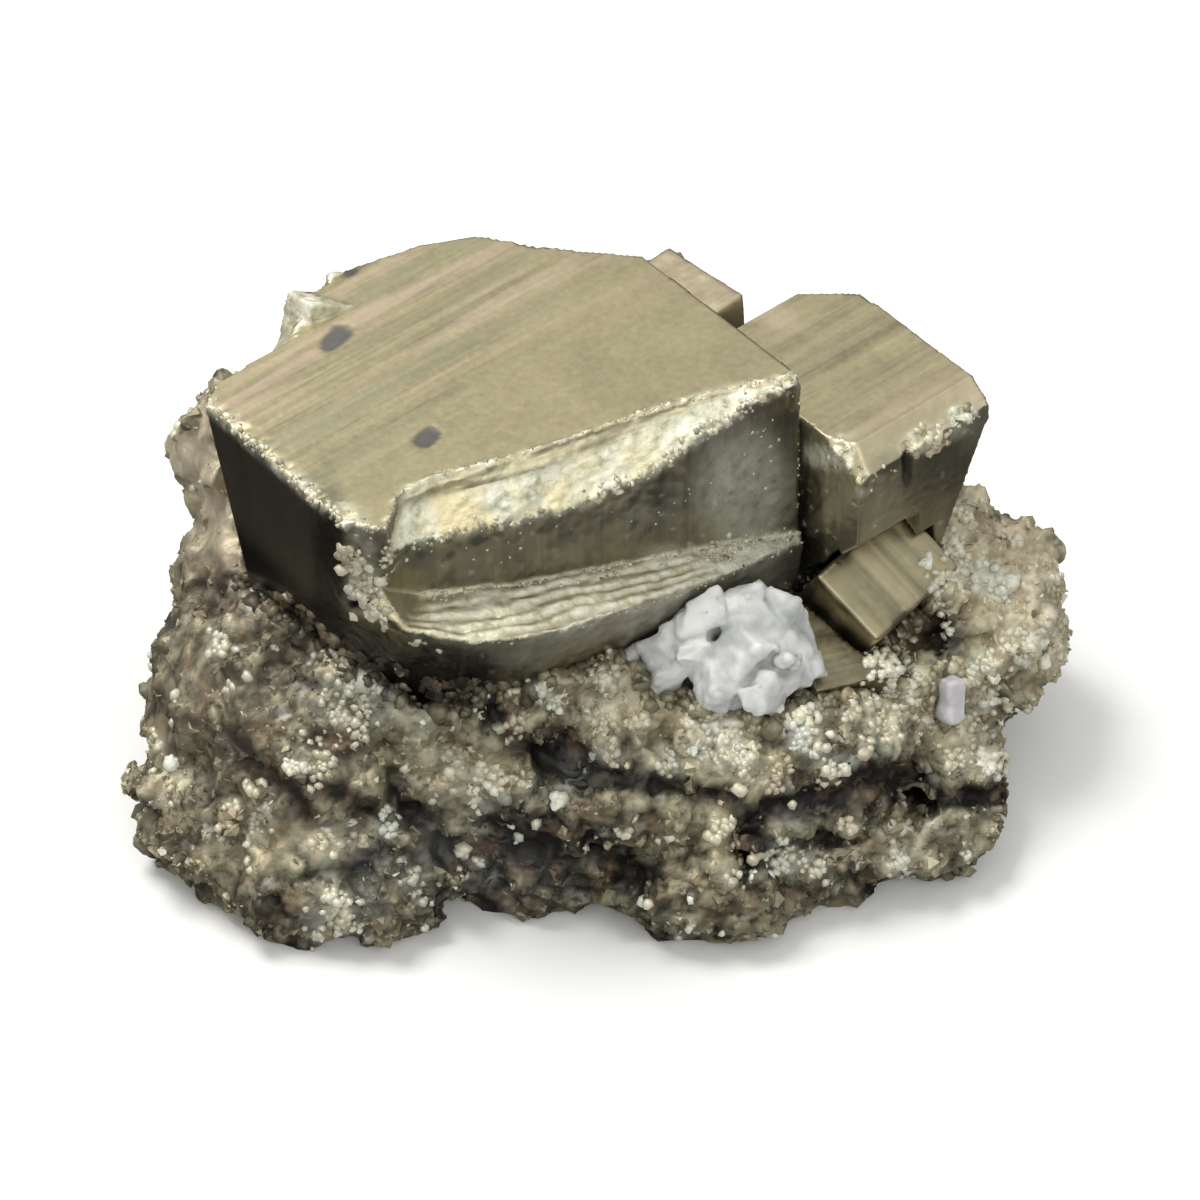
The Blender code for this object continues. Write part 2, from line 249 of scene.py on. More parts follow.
def nearest_on(tree, places, reach=1e9):
    """The nearest points on the tree's surface, its normals there and the distances."""
    points = np.array(places)
    normals = np.zeros_like(points)
    far = np.full(len(points), 1e9)
    for i, place in enumerate(places):
        point, normal, _, distance = tree.find_nearest(place, reach)
        if point is not None:
            points[i] = point
            normals[i] = normal
            far[i] = distance
    return points, normals, far


def gap_to(tree, places, reach):
    return nearest_on(tree, places, reach)[2]


def softened(mesh, rounds, amount=0.5):
    """Moves each corner towards the middle of its neighbours."""
    edges = np.empty(len(mesh.edges) * 2, np.int32)
    mesh.edges.foreach_get("vertices", edges)
    edges = edges.reshape(-1, 2)
    places = places_of(mesh)
    share = np.bincount(edges.ravel(), minlength=len(places))[:, None]
    for _ in range(rounds):
        total = np.zeros_like(places)
        np.add.at(total, edges[:, 0], places[edges[:, 1]])
        np.add.at(total, edges[:, 1], places[edges[:, 0]])
        places = places + amount * (total / share - places)
    set_places(mesh, places)


def show(obj, replaced=()):
    """Puts a piece that is in millimetres into the frame."""
    obj.data.transform(Matrix.Scale(MM, 4))
    obj.data.update()
    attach(obj, "root")
    if replaced:
        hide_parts(*replaced)
    return obj


# What the camera sees
def pixel_ray(x, y):
    """The way from the camera through a pixel."""
    right, down = (x - FRAME_PIXELS / 2) / FOCAL_PIXELS, (y - FRAME_PIXELS / 2) / FOCAL_PIXELS
    return FORWARD + Vector((1, 0, 0)) * right - UPWARD * down


def seen_at(tree, x, y):
    """The point and normal where the camera's ray through a pixel meets the tree."""
    return tree.ray_cast(CAMERA_AT / MM, pixel_ray(x, y).normalized())[:2]


def pixel_on_level(x, y, z):
    """u and v where a pixel's ray meets the level z, in the large crystal's axes."""
    ray, start = pixel_ray(x, y), CAMERA_AT / MM
    point = np.array(start + ray * ((z - start.z) / ray.z)) - MOVE
    return (LEVEL_AXES @ point)[:2]


def pixels_of(places):
    """Where places are seen, as x and y in pixels."""
    gap = places - np.array(CAMERA_AT) / MM
    depth = gap @ np.array(FORWARD)
    x = FRAME_PIXELS / 2 + FOCAL_PIXELS * gap[:, 0] / depth
    y = FRAME_PIXELS / 2 - FOCAL_PIXELS * (gap @ np.array(UPWARD)) / depth
    return x, y


def camera_facing(normals):
    return smoothstep(-0.1, 0.3, -(normals @ np.array(FORWARD)))


def painted(places, facing, marks):
    """Sums of the marks' values. A mark is centre, radii and turn in pixels and degrees, then its values."""
    x, y = pixels_of(places)
    sums = np.zeros((len(marks[0]) - 5, len(places)))
    for px, py, wide, high, turn, *amounts in marks:
        c, t = math.cos(math.radians(turn)), math.sin(math.radians(turn))
        along = ((x - px) * c - (y - py) * t) / wide
        across = ((x - px) * t + (y - py) * c) / high
        share = np.exp(-((along**2 + across**2) ** 2)) * facing
        for total, amount in zip(sums, amounts):
            total += amount * share
    return sums


def near_spots(places, facing, spots):
    """For each spot, its values after centre and radius in pixels, and how near to it each place is seen."""
    x, y = pixels_of(places)
    for px, py, radius, *amounts in spots:
        yield amounts, np.exp(-(((x - px) ** 2 + (y - py) ** 2) / radius**2)) * facing


# Materials
class Nodes:
    """Short ways to add and join the nodes of a material or a world."""

    def __init__(self, owner):
        owner.use_nodes = True
        self.owner = owner
        self.tree = owner.node_tree

    def put(self, value, socket):
        if isinstance(value, bpy.types.NodeSocket):
            self.tree.links.new(value, socket)
        else:
            socket.default_value = value

    def add(self, kind, inputs=None, **settings):
        node = self.tree.nodes.new(kind)
        for key, value in settings.items():
            setattr(node, key, value)
        for key, value in (inputs or {}).items():
            self.put(value, node.inputs[key])
        return node

    def shade(self, inputs):
        """Sets or joins inputs of the material's shader, and returns the material."""
        for key, value in inputs.items():
            self.put(value, self.tree.nodes["Principled BSDF"].inputs[key])
        return self.owner

    def math(self, operation, *values):
        node = self.add("ShaderNodeMath", operation=operation)
        for socket, value in zip(node.inputs, values):
            self.put(value, socket)
        return node.outputs[0]

    def scaled(self, value, amount, offset=0.0):
        return self.math("MULTIPLY_ADD", value, amount, offset)

    def varied(self, value, noise, amount):
        """The value, raised and lowered by noise."""
        return self.math("ADD", value, self.scaled(noise, amount, -amount / 2))

    def read(self, name, output="Fac"):
        return self.add("ShaderNodeAttribute", attribute_name=name).outputs[output]

    def noise(self, vector, detail, roughness=0.55):
        inputs = {"Vector": vector, "Scale": 1.0, "Detail": detail, "Roughness": roughness}
        return self.add("ShaderNodeTexNoise", inputs).outputs["Fac"]

    def cloud(self, scale, detail, roughness=0.55):
        """Noise over the object's places, with the scale per millimetre."""
        inputs = {"Vector": self.add("ShaderNodeTexCoord").outputs["Object"], "Scale": (scale / MM,) * 3}
        return self.noise(self.add("ShaderNodeMapping", inputs).outputs[0], detail, roughness)

    def between(self, value, low, high):
        return self.add("ShaderNodeMapRange", {"Value": value, "From Min": low, "From Max": high}).outputs[0]

    def mix(self, factor, a, b):
        """Inputs 6 and 7 of the node, and its output 2, are its colours."""
        return self.add("ShaderNodeMix", {"Factor": factor, 6: a, 7: b}, data_type="RGBA").outputs[2]

    def ramp(self, value, stops):
        node = self.add("ShaderNodeValToRGB", {"Fac": value})
        elements = node.color_ramp.elements
        for _ in stops[2:]:
            elements.new(0.5)
        for element, (position, colour) in zip(elements, stops):
            element.position = position
            element.color = (*colour, 1)
        return node.outputs["Color"]

    def bump(self, height, distance, strength, normal=None):
        inputs = {"Height": height, "Distance": distance * MM, "Strength": strength}
        if normal is not None:
            inputs["Normal"] = normal
        return self.add("ShaderNodeBump", inputs).outputs[0]


OLIVE = (0.45, 0.43, 0.28, 1)
PEACH = (0.75, 0.60, 0.44, 1)
SLATE = (0.18, 0.18, 0.17, 1)
CREAM = (0.88, 0.85, 0.67, 1)
FROSTED = (0.83, 0.87, 0.79, 1)
YELLOW = (0.90, 0.78, 0.45, 1)
BROWN = (0.44, 0.32, 0.19, 1)
STEEL = (0.30, 0.31, 0.31, 1)
FACE_METAL = [
    (0.0, (0.03, 0.028, 0.023)),
    (0.28, (0.22, 0.20, 0.138)),
    (0.5, (0.49, 0.432, 0.262)),
    (0.72, (0.70, 0.62, 0.41)),
    (1.0, (0.90, 0.85, 0.68)),
]
GRAIN_METAL = [
    (0.0, (0.014, 0.012, 0.009)),
    (0.22, (0.085, 0.078, 0.052)),
    (0.45, (0.29, 0.27, 0.178)),
    (0.68, (0.54, 0.50, 0.35)),
    (1.0, (0.80, 0.77, 0.60)),
]
CRUST = [(0.30, (0.40, 0.41, 0.29)), (0.44, (0.73, 0.73, 0.55)), (0.62, (0.93, 0.93, 0.79))]


def pyrite_face_material(name):
    """Striated crystal faces: the attribute local runs along, across and off the striations."""
    n = Nodes(bpy.data.materials.new(name))
    local = n.read("local", "Vector")
    tone, frost, streaky, hued, tint = [n.read(key) for key in ("tone", "frost", "streaky", "hued", "tint")]

    def streaks(along, across, detail):
        scaled = n.add("ShaderNodeMapping", {"Vector": local, "Scale": (along, across, 0.3)})
        return n.noise(scaled.outputs[0], detail)

    broad, fine, hue = streaks(0.04, 0.75, 3), streaks(0.10, 2.4, 4), streaks(0.035, 0.50, 3)
    speck = n.cloud(2.2, 4)
    value = n.scaled(n.scaled(fine, 0.30, -0.15), streaky, tone)
    value = n.scaled(n.scaled(broad, 0.50, -0.25), streaky, value)
    value = n.varied(n.varied(value, speck, 0.12), n.cloud(0.16, 3), 0.14)
    colour = n.ramp(value, FACE_METAL)
    colour = n.mix(n.math("MULTIPLY", n.between(hue, 0.51, 0.64), n.scaled(hued, 0.7)), colour, PEACH)
    colour = n.mix(n.math("MULTIPLY", n.between(hue, 0.50, 0.36), n.scaled(hued, 0.6)), colour, OLIVE)
    colour = n.mix(n.math("MAXIMUM", tint, 0.0), colour, PEACH)
    yellow = n.math("MULTIPLY", n.between(n.cloud(0.19, 2), 0.46, 0.60), n.scaled(hued, 0.8))
    crust = n.mix(yellow, n.ramp(n.cloud(1.2, 6), CRUST), YELLOW)
    colour = n.mix(frost, colour, crust)
    grooves = n.bump(n.math("MULTIPLY", fine, streaky), 0.03, 0.5)
    rough_crust = n.math("MULTIPLY", frost, n.cloud(2.6, 4))
    return n.shade(
        {
            "Base Color": n.mix(n.math("MAXIMUM", n.scaled(tint, -1.0), 0.0), colour, SLATE),
            "Metallic": n.scaled(frost, -0.60, 0.95),
            "Roughness": n.math("ADD", n.scaled(frost, 0.18, 0.34), n.scaled(speck, 0.20, -0.08)),
            "Normal": n.bump(rough_crust, 0.16, 0.7, n.bump(speck, 0.03, 0.3, grooves)),
        }
    )


def pyrite_grain_material(name):
    """Granular pyrite: tone, frost and tint come from the surface, and fine noise mottles them."""
    n = Nodes(bpy.data.materials.new(name))
    tone, frost, tint = n.read("tone"), n.read("frost"), n.read("tint")
    speck = n.cloud(1.5, 5, 0.62)
    metal = n.ramp(n.varied(n.varied(tone, speck, 0.36), n.cloud(0.34, 5, 0.6), 0.80), GRAIN_METAL)
    hue = n.cloud(0.40, 4)
    colour = n.mix(n.between(hue, 0.52, 0.66), metal, n.mix(0.36, metal, BROWN))
    colour = n.mix(frost, colour, n.mix(n.between(hue, 0.58, 0.42), CREAM, FROSTED))
    colour = n.mix(n.scaled(n.math("MAXIMUM", tint, 0.0), 0.7), colour, PEACH)
    return n.shade(
        {
            "Base Color": n.mix(n.scaled(n.math("MAXIMUM", n.scaled(tint, -1.0), 0.0), 0.7), colour, STEEL),
            "Metallic": n.scaled(frost, -0.35, 0.52),
            "Roughness": n.math("ADD", n.scaled(speck, 0.30, 0.34), n.scaled(frost, -0.04)),
            "Normal": n.bump(speck, 0.16, 0.7),
        }
    )


def white_material(name, shades):
    """The white mineral, which lets a little light in."""
    n = Nodes(bpy.data.materials.new(name))
    frosty = n.cloud(2.0, 5, 0.6)
    return n.shade(
        {
            "Base Color": n.ramp(n.cloud(0.35, 4), list(zip((0.36, 0.5, 0.62), shades))),
            "Roughness": n.scaled(frosty, 0.4, 0.28),
            "Normal": n.bump(frosty, 0.06, 0.4),
            "Subsurface Weight": 0.45,
            "Subsurface Radius": (1.0, 1.0, 1.1),
            "Subsurface Scale": 1.5 * MM,
            "IOR": 1.5,
        }
    )


FACES = pyrite_face_material("pyrite_faces")
GRAINS = pyrite_grain_material("pyrite_grains")
WHITE = white_material("white_mineral", [(0.46, 0.475, 0.47), (0.61, 0.62, 0.61), (0.76, 0.76, 0.74)])
LILAC = white_material("lilac_mineral", [(0.44, 0.435, 0.45), (0.54, 0.53, 0.55), (0.64, 0.635, 0.65)])


# Crystals
def crystal(node, axes, origin, stretch, voxel, dress):
    """A crystal's fine surface. axes has rows along, across and off its striations; origin is in the frame.

    The mesh is made in those axes, stretched so that its faces are finest across the striations.
    """
    mesh = welded_copy(node)
    set_places(mesh, (places_of(mesh) - origin) @ axes.T * stretch)
    mirrored = np.linalg.det(axes) < 0
    if mirrored:
        mesh.flip_normals()
    obj, tree = remeshed(f"{node}_surface", mesh, voxel)
    points, normals, _ = nearest_on(tree, places_of(obj.data))
    places = points / stretch
    normals = normals * stretch
    normals /= np.linalg.norm(normals, axis=1)[:, None]
    push, values, local = dress(places, normals)
    set_places(obj.data, (places + push) @ axes + origin)
    if mirrored:
        obj.data.flip_normals()
    return dressed(obj, FACES, {**values, "local": local})


def along_front(u):
    return [np.interp(u, FRONT[:, 0], FRONT[:, i]) for i in range(1, 6)]


# Marks on the crystals, as the camera sees them: centre, radii and turn, then tone, tint, frost and how far
# the crust is held off. Some of them are painted light and shade, as noted above them.
LARGE_MARKS = [
    (661, 505, 9, 42, 0, -0.2, 0.2, 0.0, 0.3), (416, 557, 14, 12, 0, -0.16, -0.4, 0.0, 0.8),
    (470, 558, 70, 20, 8, -0.05, -0.05, 0.0, 0.0), (562, 557, 17, 5, 35, 0.2, -0.25, 0.1, 0.0),
    (728, 482, 3, 17, 0, 0.1, 0.0, 0.6, 0.0), (745, 490, 48, 62, 0, 0.22, -0.18, 0.72, 0.0),
    (560, 540, 120, 26, 12, 0.0, -0.12, 0.08, 0.0), (735, 450, 40, 40, 0, 0.0, -0.1, 0.12, 0.0),
    (667, 555, 22, 12, 0, 0.12, -0.1, 0.5, 0.0), (745, 552, 56, 18, 12, 0.18, -0.16, 0.55, 0.0),
    # The tall strip at x 328 is painted shade, dark like the left face beside it.
    (365, 602, 16, 8, 0, -0.35, 0.0, -0.6, 0.9), (328, 560, 16, 90, 0, -0.2, 0.0, -0.3, 0.7),
    # The mark at (735, 588) and the two on the next line are painted light on the ledge's underside.
    (402, 600, 20, 32, 0, 0.1, 0.15, -0.5, 1.0), (735, 588, 80, 18, 14, 0.22, -0.22, 0.42, 0.0),
    (630, 622, 80, 14, 10, 0.14, -0.25, 0.4, 0.0), (540, 648, 60, 16, 8, 0.1, -0.25, 0.28, 0.0),
    (350, 272, 8, 5, 20, -0.3, -0.4, 0.0, 0.0), (310, 305, 10, 8, 0, 0.3, 0.0, 0.8, 0.0),
]
RIGHT_MARKS = [
    (770, 312, 32, 16, -30, 0.05, 0.45, 0.0, 0.0), (823, 458, 22, 12, -20, 0.08, 0.0, 0.6, 0.0),
    (848, 458, 4, 14, 0, 0.2, 0.0, 0.9, 0.0), (886, 462, 16, 11, 20, 0.0, -0.35, -0.3, 0.5),
    # The mark at (907, 464) is painted shade in the crack between the faces.
    (907, 464, 4, 20, 0, -0.45, 0.0, -0.8, 0.5), (923, 440, 22, 13, 20, 0.1, 0.0, 0.8, 0.0),
    (958, 414, 10, 8, 0, 0.1, 0.0, 0.7, 0.0), (974, 392, 13, 15, 0, 0.06, 0.45, 0.0, 0.0),
    (945, 490, 42, 55, 0, -0.13, 0.0, -0.2, 0.5), (858, 515, 36, 34, 0, 0.06, -0.05, 0.0, 0.0),
    # The mark at (812, 530) is painted shade in the gap between the two crystals.
    (812, 530, 12, 70, 0, -0.3, 0.15, -0.2, 0.0),
]
# The dark spots on the large crystal's top: pixels of the centre, and half sizes along and across.
DARK_SPOTS = [(335, 338, 1.15, 0.72), (428, 438, 0.85, 0.62)]

# Places of the large crystal's parts, in its axes: the level that the ledge is below, the limits of the small
# crystals at its back, and u of its left corner and of its top's left edge.
LEDGE_LEVEL = 27.0
BACK_RIGHT_U = 10.95
BACK_LEFT_V = -15.5
BACK_LEFT_U = (-13.5, -3.0)
LEFT_CORNER_U = -19.4
LEFT_EDGE_U = -20.1


def dark_spots(u, v):
    """From 0 to 1, how far each place lies inside one of the dark spots."""
    wobble = lines_noise(u * 1.3, v * 1.3, 95) * 0.25
    spots = np.zeros(len(u))
    for x, y, half_u, half_v in DARK_SPOTS:
        cu, cv = pixel_on_level(x, y, LARGE_TOP)
        far = np.cbrt(np.abs((u - cu) / half_u) ** 3 + np.abs((v - cv + 0.25 * (u - cu)) / half_v) ** 3)
        spots = np.maximum(spots, smoothstep(1.3, 0.9, far + wobble))
    return spots


def dress_large(p, normals):
    u, v, z = p.T
    here, facing = p @ LEVEL_AXES + MOVE, camera_facing(normals @ LEVEL_AXES)
    tone_and_painted_light, more_tint, more_frost, bare = painted(here, facing, LARGE_MARKS)
    bare = np.clip(bare, 0, 1)

    # Its parts
    edge, low_v, low_z, inner, outer = along_front(u)
    nz = normals[:, 2]
    top = (nz > 0.6) & (z > LARGE_TOP - 0.5) & (v < edge + 0.05) & (z < LARGE_TOP + 0.05)
    back_right = (u > BACK_RIGHT_U) | ((u > 9) & (v < -8.6) & ~top)
    back_left = (v < BACK_LEFT_V) & (u > BACK_LEFT_U[0]) & (u < BACK_LEFT_U[1]) & ~top
    back = back_left | back_right
    front = (v > inner - 2.5) & (u < 11.2) & ~back
    bevel = (nz > 0.2) & ~top & front & (z > low_z - 0.6)
    ledge = (nz > 0.55) & front & (z < LEDGE_LEVEL)
    side = ~(top | bevel | ledge | back)
    left = side & (normals[:, 0] < -0.75)

    # The top's striations
    push = np.zeros_like(p)
    bands = 0.15 + 0.85 * smoothstep(-1.0, -9.0, v + 0.22 * (u + 14))
    stripes = lines_noise(u * 0.05, v * 1.1, 3) * 0.03 + lines_noise(u * 0.09, v * 3.0, 4) * 0.012
    level = np.where(top & (v > -15.2), LARGE_TOP - z, 0)
    push[:, 2] += np.where(top, level + stripes * bands, 0)

    # The bevel's grooves above and its worn lower part
    depth = np.clip((LARGE_TOP - z) / (LARGE_TOP - low_z), 0, 1)
    groove_at = (v - edge) * 0.7 - (z - LARGE_TOP) * 0.7
    grooves = lines_noise(u * 0.16, groove_at * 2.2, 8) * 0.15
    grooves += lines_noise(u * 0.3, groove_at * 5.0, 7) * 0.05
    relief = grooves * smoothstep(0.6, 0.25, depth) * bevel
    worn = smoothstep(0.2, 0.55, depth) * bevel
    relief += worn * (0.15 * layered(p * 0.85, 47) + 0.05 * lines_noise(u * 2.4, z * 0.5, 48))

    # The ledge's steps, which turn into folds at the right, and the fluted and gritty sides
    across = (v - inner) / (outer - inner)
    phase = across * 4.6 + 0.55 * lines_noise(u * 0.25, across * 2, 9)
    phase += 0.14 * lines_noise(u * 1.6, across * 6, 14)
    waves = np.cos(2 * np.pi * phase) + 0.8 * lines_noise(u * 0.7, across * 14, 11)
    ridge = waves * ledge * smoothstep(3.5, 1.0, u) * (1 - bare)
    relief += ridge * 0.075 + lines_noise(u * 0.8, across * 3.0, 10) * 0.22 * ledge * smoothstep(1.0, 3.5, u)
    flutes = lines_noise(u * 1.5, z * 0.14, 12) * 0.05 + lines_noise(u * 4.2, z * 0.3, 13) * 0.03
    mottled = layered(p * 1.3, 49) * side * front * ~left
    relief += flutes * (side & ~left) + mottled * 0.06
    grit, _, _ = facets(p / 0.6, normals, 40, 0.10, 0.05)
    gritty = np.where(ledge, 0.6, 0.6 * (side & front))
    gritty = np.where(bevel, 0.3 + 1.1 * smoothstep(0.35, 0.8, depth), gritty)
    relief += grit * gritty * (1 - bare)
    rugged, _, _ = facets(p / 1.1, normals, 45, 0.22, 0.12)
    relief += np.where(back_right, 0.18, back * 0.45) * (rugged + 0.18 * layered(p * 0.9, 46))
    push += normals * relief[:, None]

    # Crumbly edges
    top_edge = bell(np.hypot(v - edge, z - LARGE_TOP), 0, 0.35)
    low_edge = bell(np.hypot(v - low_v, z - low_z), 0, 0.55)
    outer_edge = np.where(z < LEDGE_LEVEL, bell(v, outer, 0.3), 0)
    left_edge = bell(u, LEFT_EDGE_U, 0.8) * smoothstep(LARGE_TOP - 1.2, LARGE_TOP - 0.4, z)
    left_edge *= 0.55 + 0.45 * smoothstep(-0.4, 0.3, lines_noise(v * 0.9, z * 0.9, 61))
    edges = np.clip(top_edge * 0.7 + low_edge + outer_edge * 0.5, 0, 1) * front
    edges = np.maximum(edges, left_edge)
    push += crumble(p, 0.20, 0.55, 60) * edges[:, None]
    left_corner = bell(u, LEFT_CORNER_U, 0.8) * smoothstep(24, 26, z)
    edges = np.maximum(edges, 0.8 * left_corner * front)
    spots = dark_spots(u, v) * top
    push[:, 2] -= 0.05 * spots

    # Tone: the sides are painted darker than the top and the left face darker still, as painted shade,
    # and the bevel and ledge a little lighter, as painted light. Painted shadow darkens the sides most at
    # the foot of the left half, under its overhang.
    foot = smoothstep(25.5, 22.0, z) * smoothstep(-10.0, -15.0, u)
    tone = np.where(top, 0.50, np.where(side, 0.335, 0.55)) + 0.03 * layered(p * 0.5, 70)
    tone = np.where(left, 0.27, tone) + 0.035 * ridge + 0.05 * mottled
    tone = np.where(side, tone - 0.30 * foot, tone)
    tone = np.where(back, 0.50, tone)

    # Frost: pale crust on the bevel, the ledge, the edges and the back, and pale flecks on the front.
    wave = layered(p * 0.7, 80)
    frost = np.where(bevel, np.clip(smoothstep(0.20, 0.50, depth + 0.12 * wave) + 0.15, 0, 1), 0.0)
    frost = np.where(ledge, 0.60 + 0.30 * ridge + 0.10 * wave + 0.24 * layered(p * 2.2, 85), frost)
    frost = np.maximum(frost, edges * (0.6 + 0.4 * wave))
    high = smoothstep(22.0, 29.0, z + 1.5 * wave)
    frost = np.where(back_left, 0.12 + 0.53 * high + 0.15 * wave, frost)
    frost = np.where(back_right, 0.06 + 0.06 * wave, frost)
    share = np.where(u > -2, 0.975, 0.988)
    flecks = smoothstep(share, share + 0.02, hashed(cells(p / 0.3, 90)[0], 91)) * 0.5
    frost = np.maximum(frost, np.where(side & front & ~left, flecks, 0))
    frost = np.clip((frost + more_frost) * (1 - bare), 0, 1) * (1 - spots)

    tint = np.where(back_right, 0.30, np.where(back_left, 0.25, 0.0))
    tint = np.where(side & ~left, -0.38 * (1 - foot), tint)
    tint = np.where(ledge, -0.03, tint)
    values = {
        "tone": tone + tone_and_painted_light - 0.22 * spots,
        "frost": frost,
        "tint": np.where(spots > 0.01, -0.88 * spots, tint + more_tint),
        "streaky": np.where(top, bands, np.where(left, 0.3, np.where(bevel, 1.0, 0.8))),
        "hued": np.where(top, bands, np.where(bevel, smoothstep(4.0, -4.0, u), 0.0)),
    }
    local = np.stack([u, np.where(bevel | ledge, groove_at * 1.5, v), z * 0.3], 1)
    upright = np.stack([z, u + v * 0.4, v * 0.2], 1)
    return push, values, np.where(side[:, None], upright, local)


# Places of the right crystal's broken edges, in the same axes: v of its front edge, and u and v of its left
# corner.
RIGHT_EDGE_V = 12.8
RIGHT_CORNER = (11.5, 10.0)


def dress_right(p, normals):
    u, v, z = p.T
    here, facing = p @ LEVEL_AXES + MOVE, camera_facing(normals @ LEVEL_AXES)
    tone_and_painted_light, more_tint, more_frost, bare = painted(here, facing, RIGHT_MARKS)
    nz = normals[:, 2]
    top = (nz > 0.75) & (z > RIGHT_TOP - 0.5) & (v < 11.15) & (normals[:, 0] > -0.4)
    chamfer = (nz > 0.4) & ~top & (z > 24)
    side = ~(top | chamfer)

    push = np.zeros_like(p)
    stripes = lines_noise(u * 0.05, v * 1.2, 103) * 0.03 + lines_noise(u * 0.1, v * 3.2, 104) * 0.012
    push[:, 2] += np.where(top, RIGHT_TOP - z + stripes, 0)
    flutes = np.where(side, lines_noise((u + v) * 1.6, z * 0.16, 112) * 0.05, 0)
    grit, _, _ = facets(p / 0.6, normals, 140, 0.1, 0.05)
    push += normals * (flutes + grit * np.where(chamfer, 0.3, np.where(side, 0.35, 0)))[:, None]
    rim = bell(v, RIGHT_EDGE_V, 0.45) * smoothstep(25.6, 26.6, z)
    corner = bell(np.hypot(v - RIGHT_CORNER[1], u - RIGHT_CORNER[0]), 0, 1.2) * smoothstep(26, 27.5, z)
    rim = np.maximum(rim, corner)
    rim *= 0.25 + 0.75 * smoothstep(-0.1, 0.4, lines_noise(u * 0.45, v * 0.3, 150))
    push += crumble(p, 0.28, 0.6, 160) * np.clip(rim + more_frost * ~top, 0, 1)[:, None]
    # Where the marks paint the deepest shade, high on the crystal, the surface is also pushed in.
    crack = np.clip(-tone_and_painted_light - 0.2, 0, 0.3)
    push -= normals * (crack * 2.2 * (z > 24))[:, None]

    wave = layered(p * 0.8, 180)
    flecks = smoothstep(0.97, 0.99, hashed(cells(p / 0.34, 190)[0], 191)) * 0.5
    frost = np.maximum(rim * (0.6 + 0.4 * wave), np.where(side, 0.14 + flecks, 0)) + more_frost
    # Painted light and shade: the chamfer is lighter and the sides darker than the top.
    values = {
        "tone": np.where(top, 0.48, np.where(chamfer, 0.64, 0.42)) + 0.03 * wave + tone_and_painted_light,
        "frost": np.clip(frost * (1 - np.clip(bare, 0, 1)), 0, 1),
        "tint": more_tint - np.where(top, 0.0, np.where(chamfer, 0.04, 0.25)),
        "streaky": np.where(top, 0.75, np.where(chamfer, 0.2, 0.3)),
        "hued": np.where(top, 0.3, 0.0),
    }
    upright, level = np.stack([z, u + v * 0.7, v * 0.2], 1), np.stack([u, v + 40, z * 0.3], 1)
    return push, values, np.where(side[:, None], upright, level)


def dress_block(p, normals, running, across, seed, tone):
    """A small crystal, whose face at level 0 has striations that run one way."""
    top = (normals[:, 2] > 0.6) & (p[:, 2] > -0.35)
    push = np.zeros_like(p)
    stripes = lines_noise(running * 0.06, across * 0.9, seed) * 0.07
    stripes += lines_noise(running * 0.12, across * 2.6, seed + 1) * 0.02
    push[:, 2] += np.where(top, stripes - p[:, 2], 0)
    grit, _, _ = facets(p / 0.7, normals, seed + 40, 0.12, 0.07)
    push += normals * (np.where(top, 0.12, 0.7) * grit)[:, None]
    wave = layered(p * 0.8, seed + 80)
    side = np.where(top, 0.0, 1.0)
    # Painted shade: the sides are darker than the top face, and darker still towards the bottom.
    values = {
        "tone": tone - side * (0.04 + 0.14 * smoothstep(-0.8, -2.2, p[:, 2])) + 0.04 * wave,
        "frost": side * np.clip(0.2 * wave, 0, 1),
        "tint": side * 0,
        "streaky": 0.8 - 0.3 * side,
        "hued": 0.35 - 0.3 * side,
    }
    return push, values, np.stack([running, across + seed * 0.4, p[:, 2] * 0.3], 1)


def dress_small(p, normals):
    return dress_block(p, normals, p[:, 1], p[:, 0], 203, 0.40)


def dress_low(p, normals):
    return dress_block(p, normals, p[:, 0], p[:, 1], 303, 0.36)


def tilted_axes(along, down):
    """Axes whose rows run along, down and out of a tilted face."""
    along = np.array(along) / np.linalg.norm(along)
    down = down - along * (down @ along)
    down /= np.linalg.norm(down)
    return np.array([along, down, -np.cross(along, down)])


SMALL_AXES = tilted_axes((5.7, 6.2, 0.9), np.array([4.1, -3.1, -2.8]))
LOW_AXES = np.array(Euler([math.radians(angle) for angle in (14, 6, 24)]).to_matrix()).T
# The middles of the small and low crystals' upper faces.
SMALL_AT = (14.7, -3.3, 19.2)
LOW_AT = (15.6, -5.4, 15.4)

# Stretches that make the mesh finest across the first or the second of a crystal's axes.
FINE_ACROSS_U = np.array([1.6, 0.8, 1.0])
FINE_ACROSS_V = np.array([0.8, 1.6, 1.0])
large = crystal("large_crystal", LEVEL_AXES, MOVE, FINE_ACROSS_V, 0.25, dress_large)
right = crystal("right_crystal", LEVEL_AXES, MOVE, FINE_ACROSS_V, 0.2, dress_right)
small = crystal("small_crystal", SMALL_AXES, MOVE + SMALL_AT, FINE_ACROSS_U, 0.18, dress_small)
softened(small.data, 14)
low = crystal("low_crystal", LOW_AXES, MOVE + LOW_AT, FINE_ACROSS_V, 0.18, dress_low)
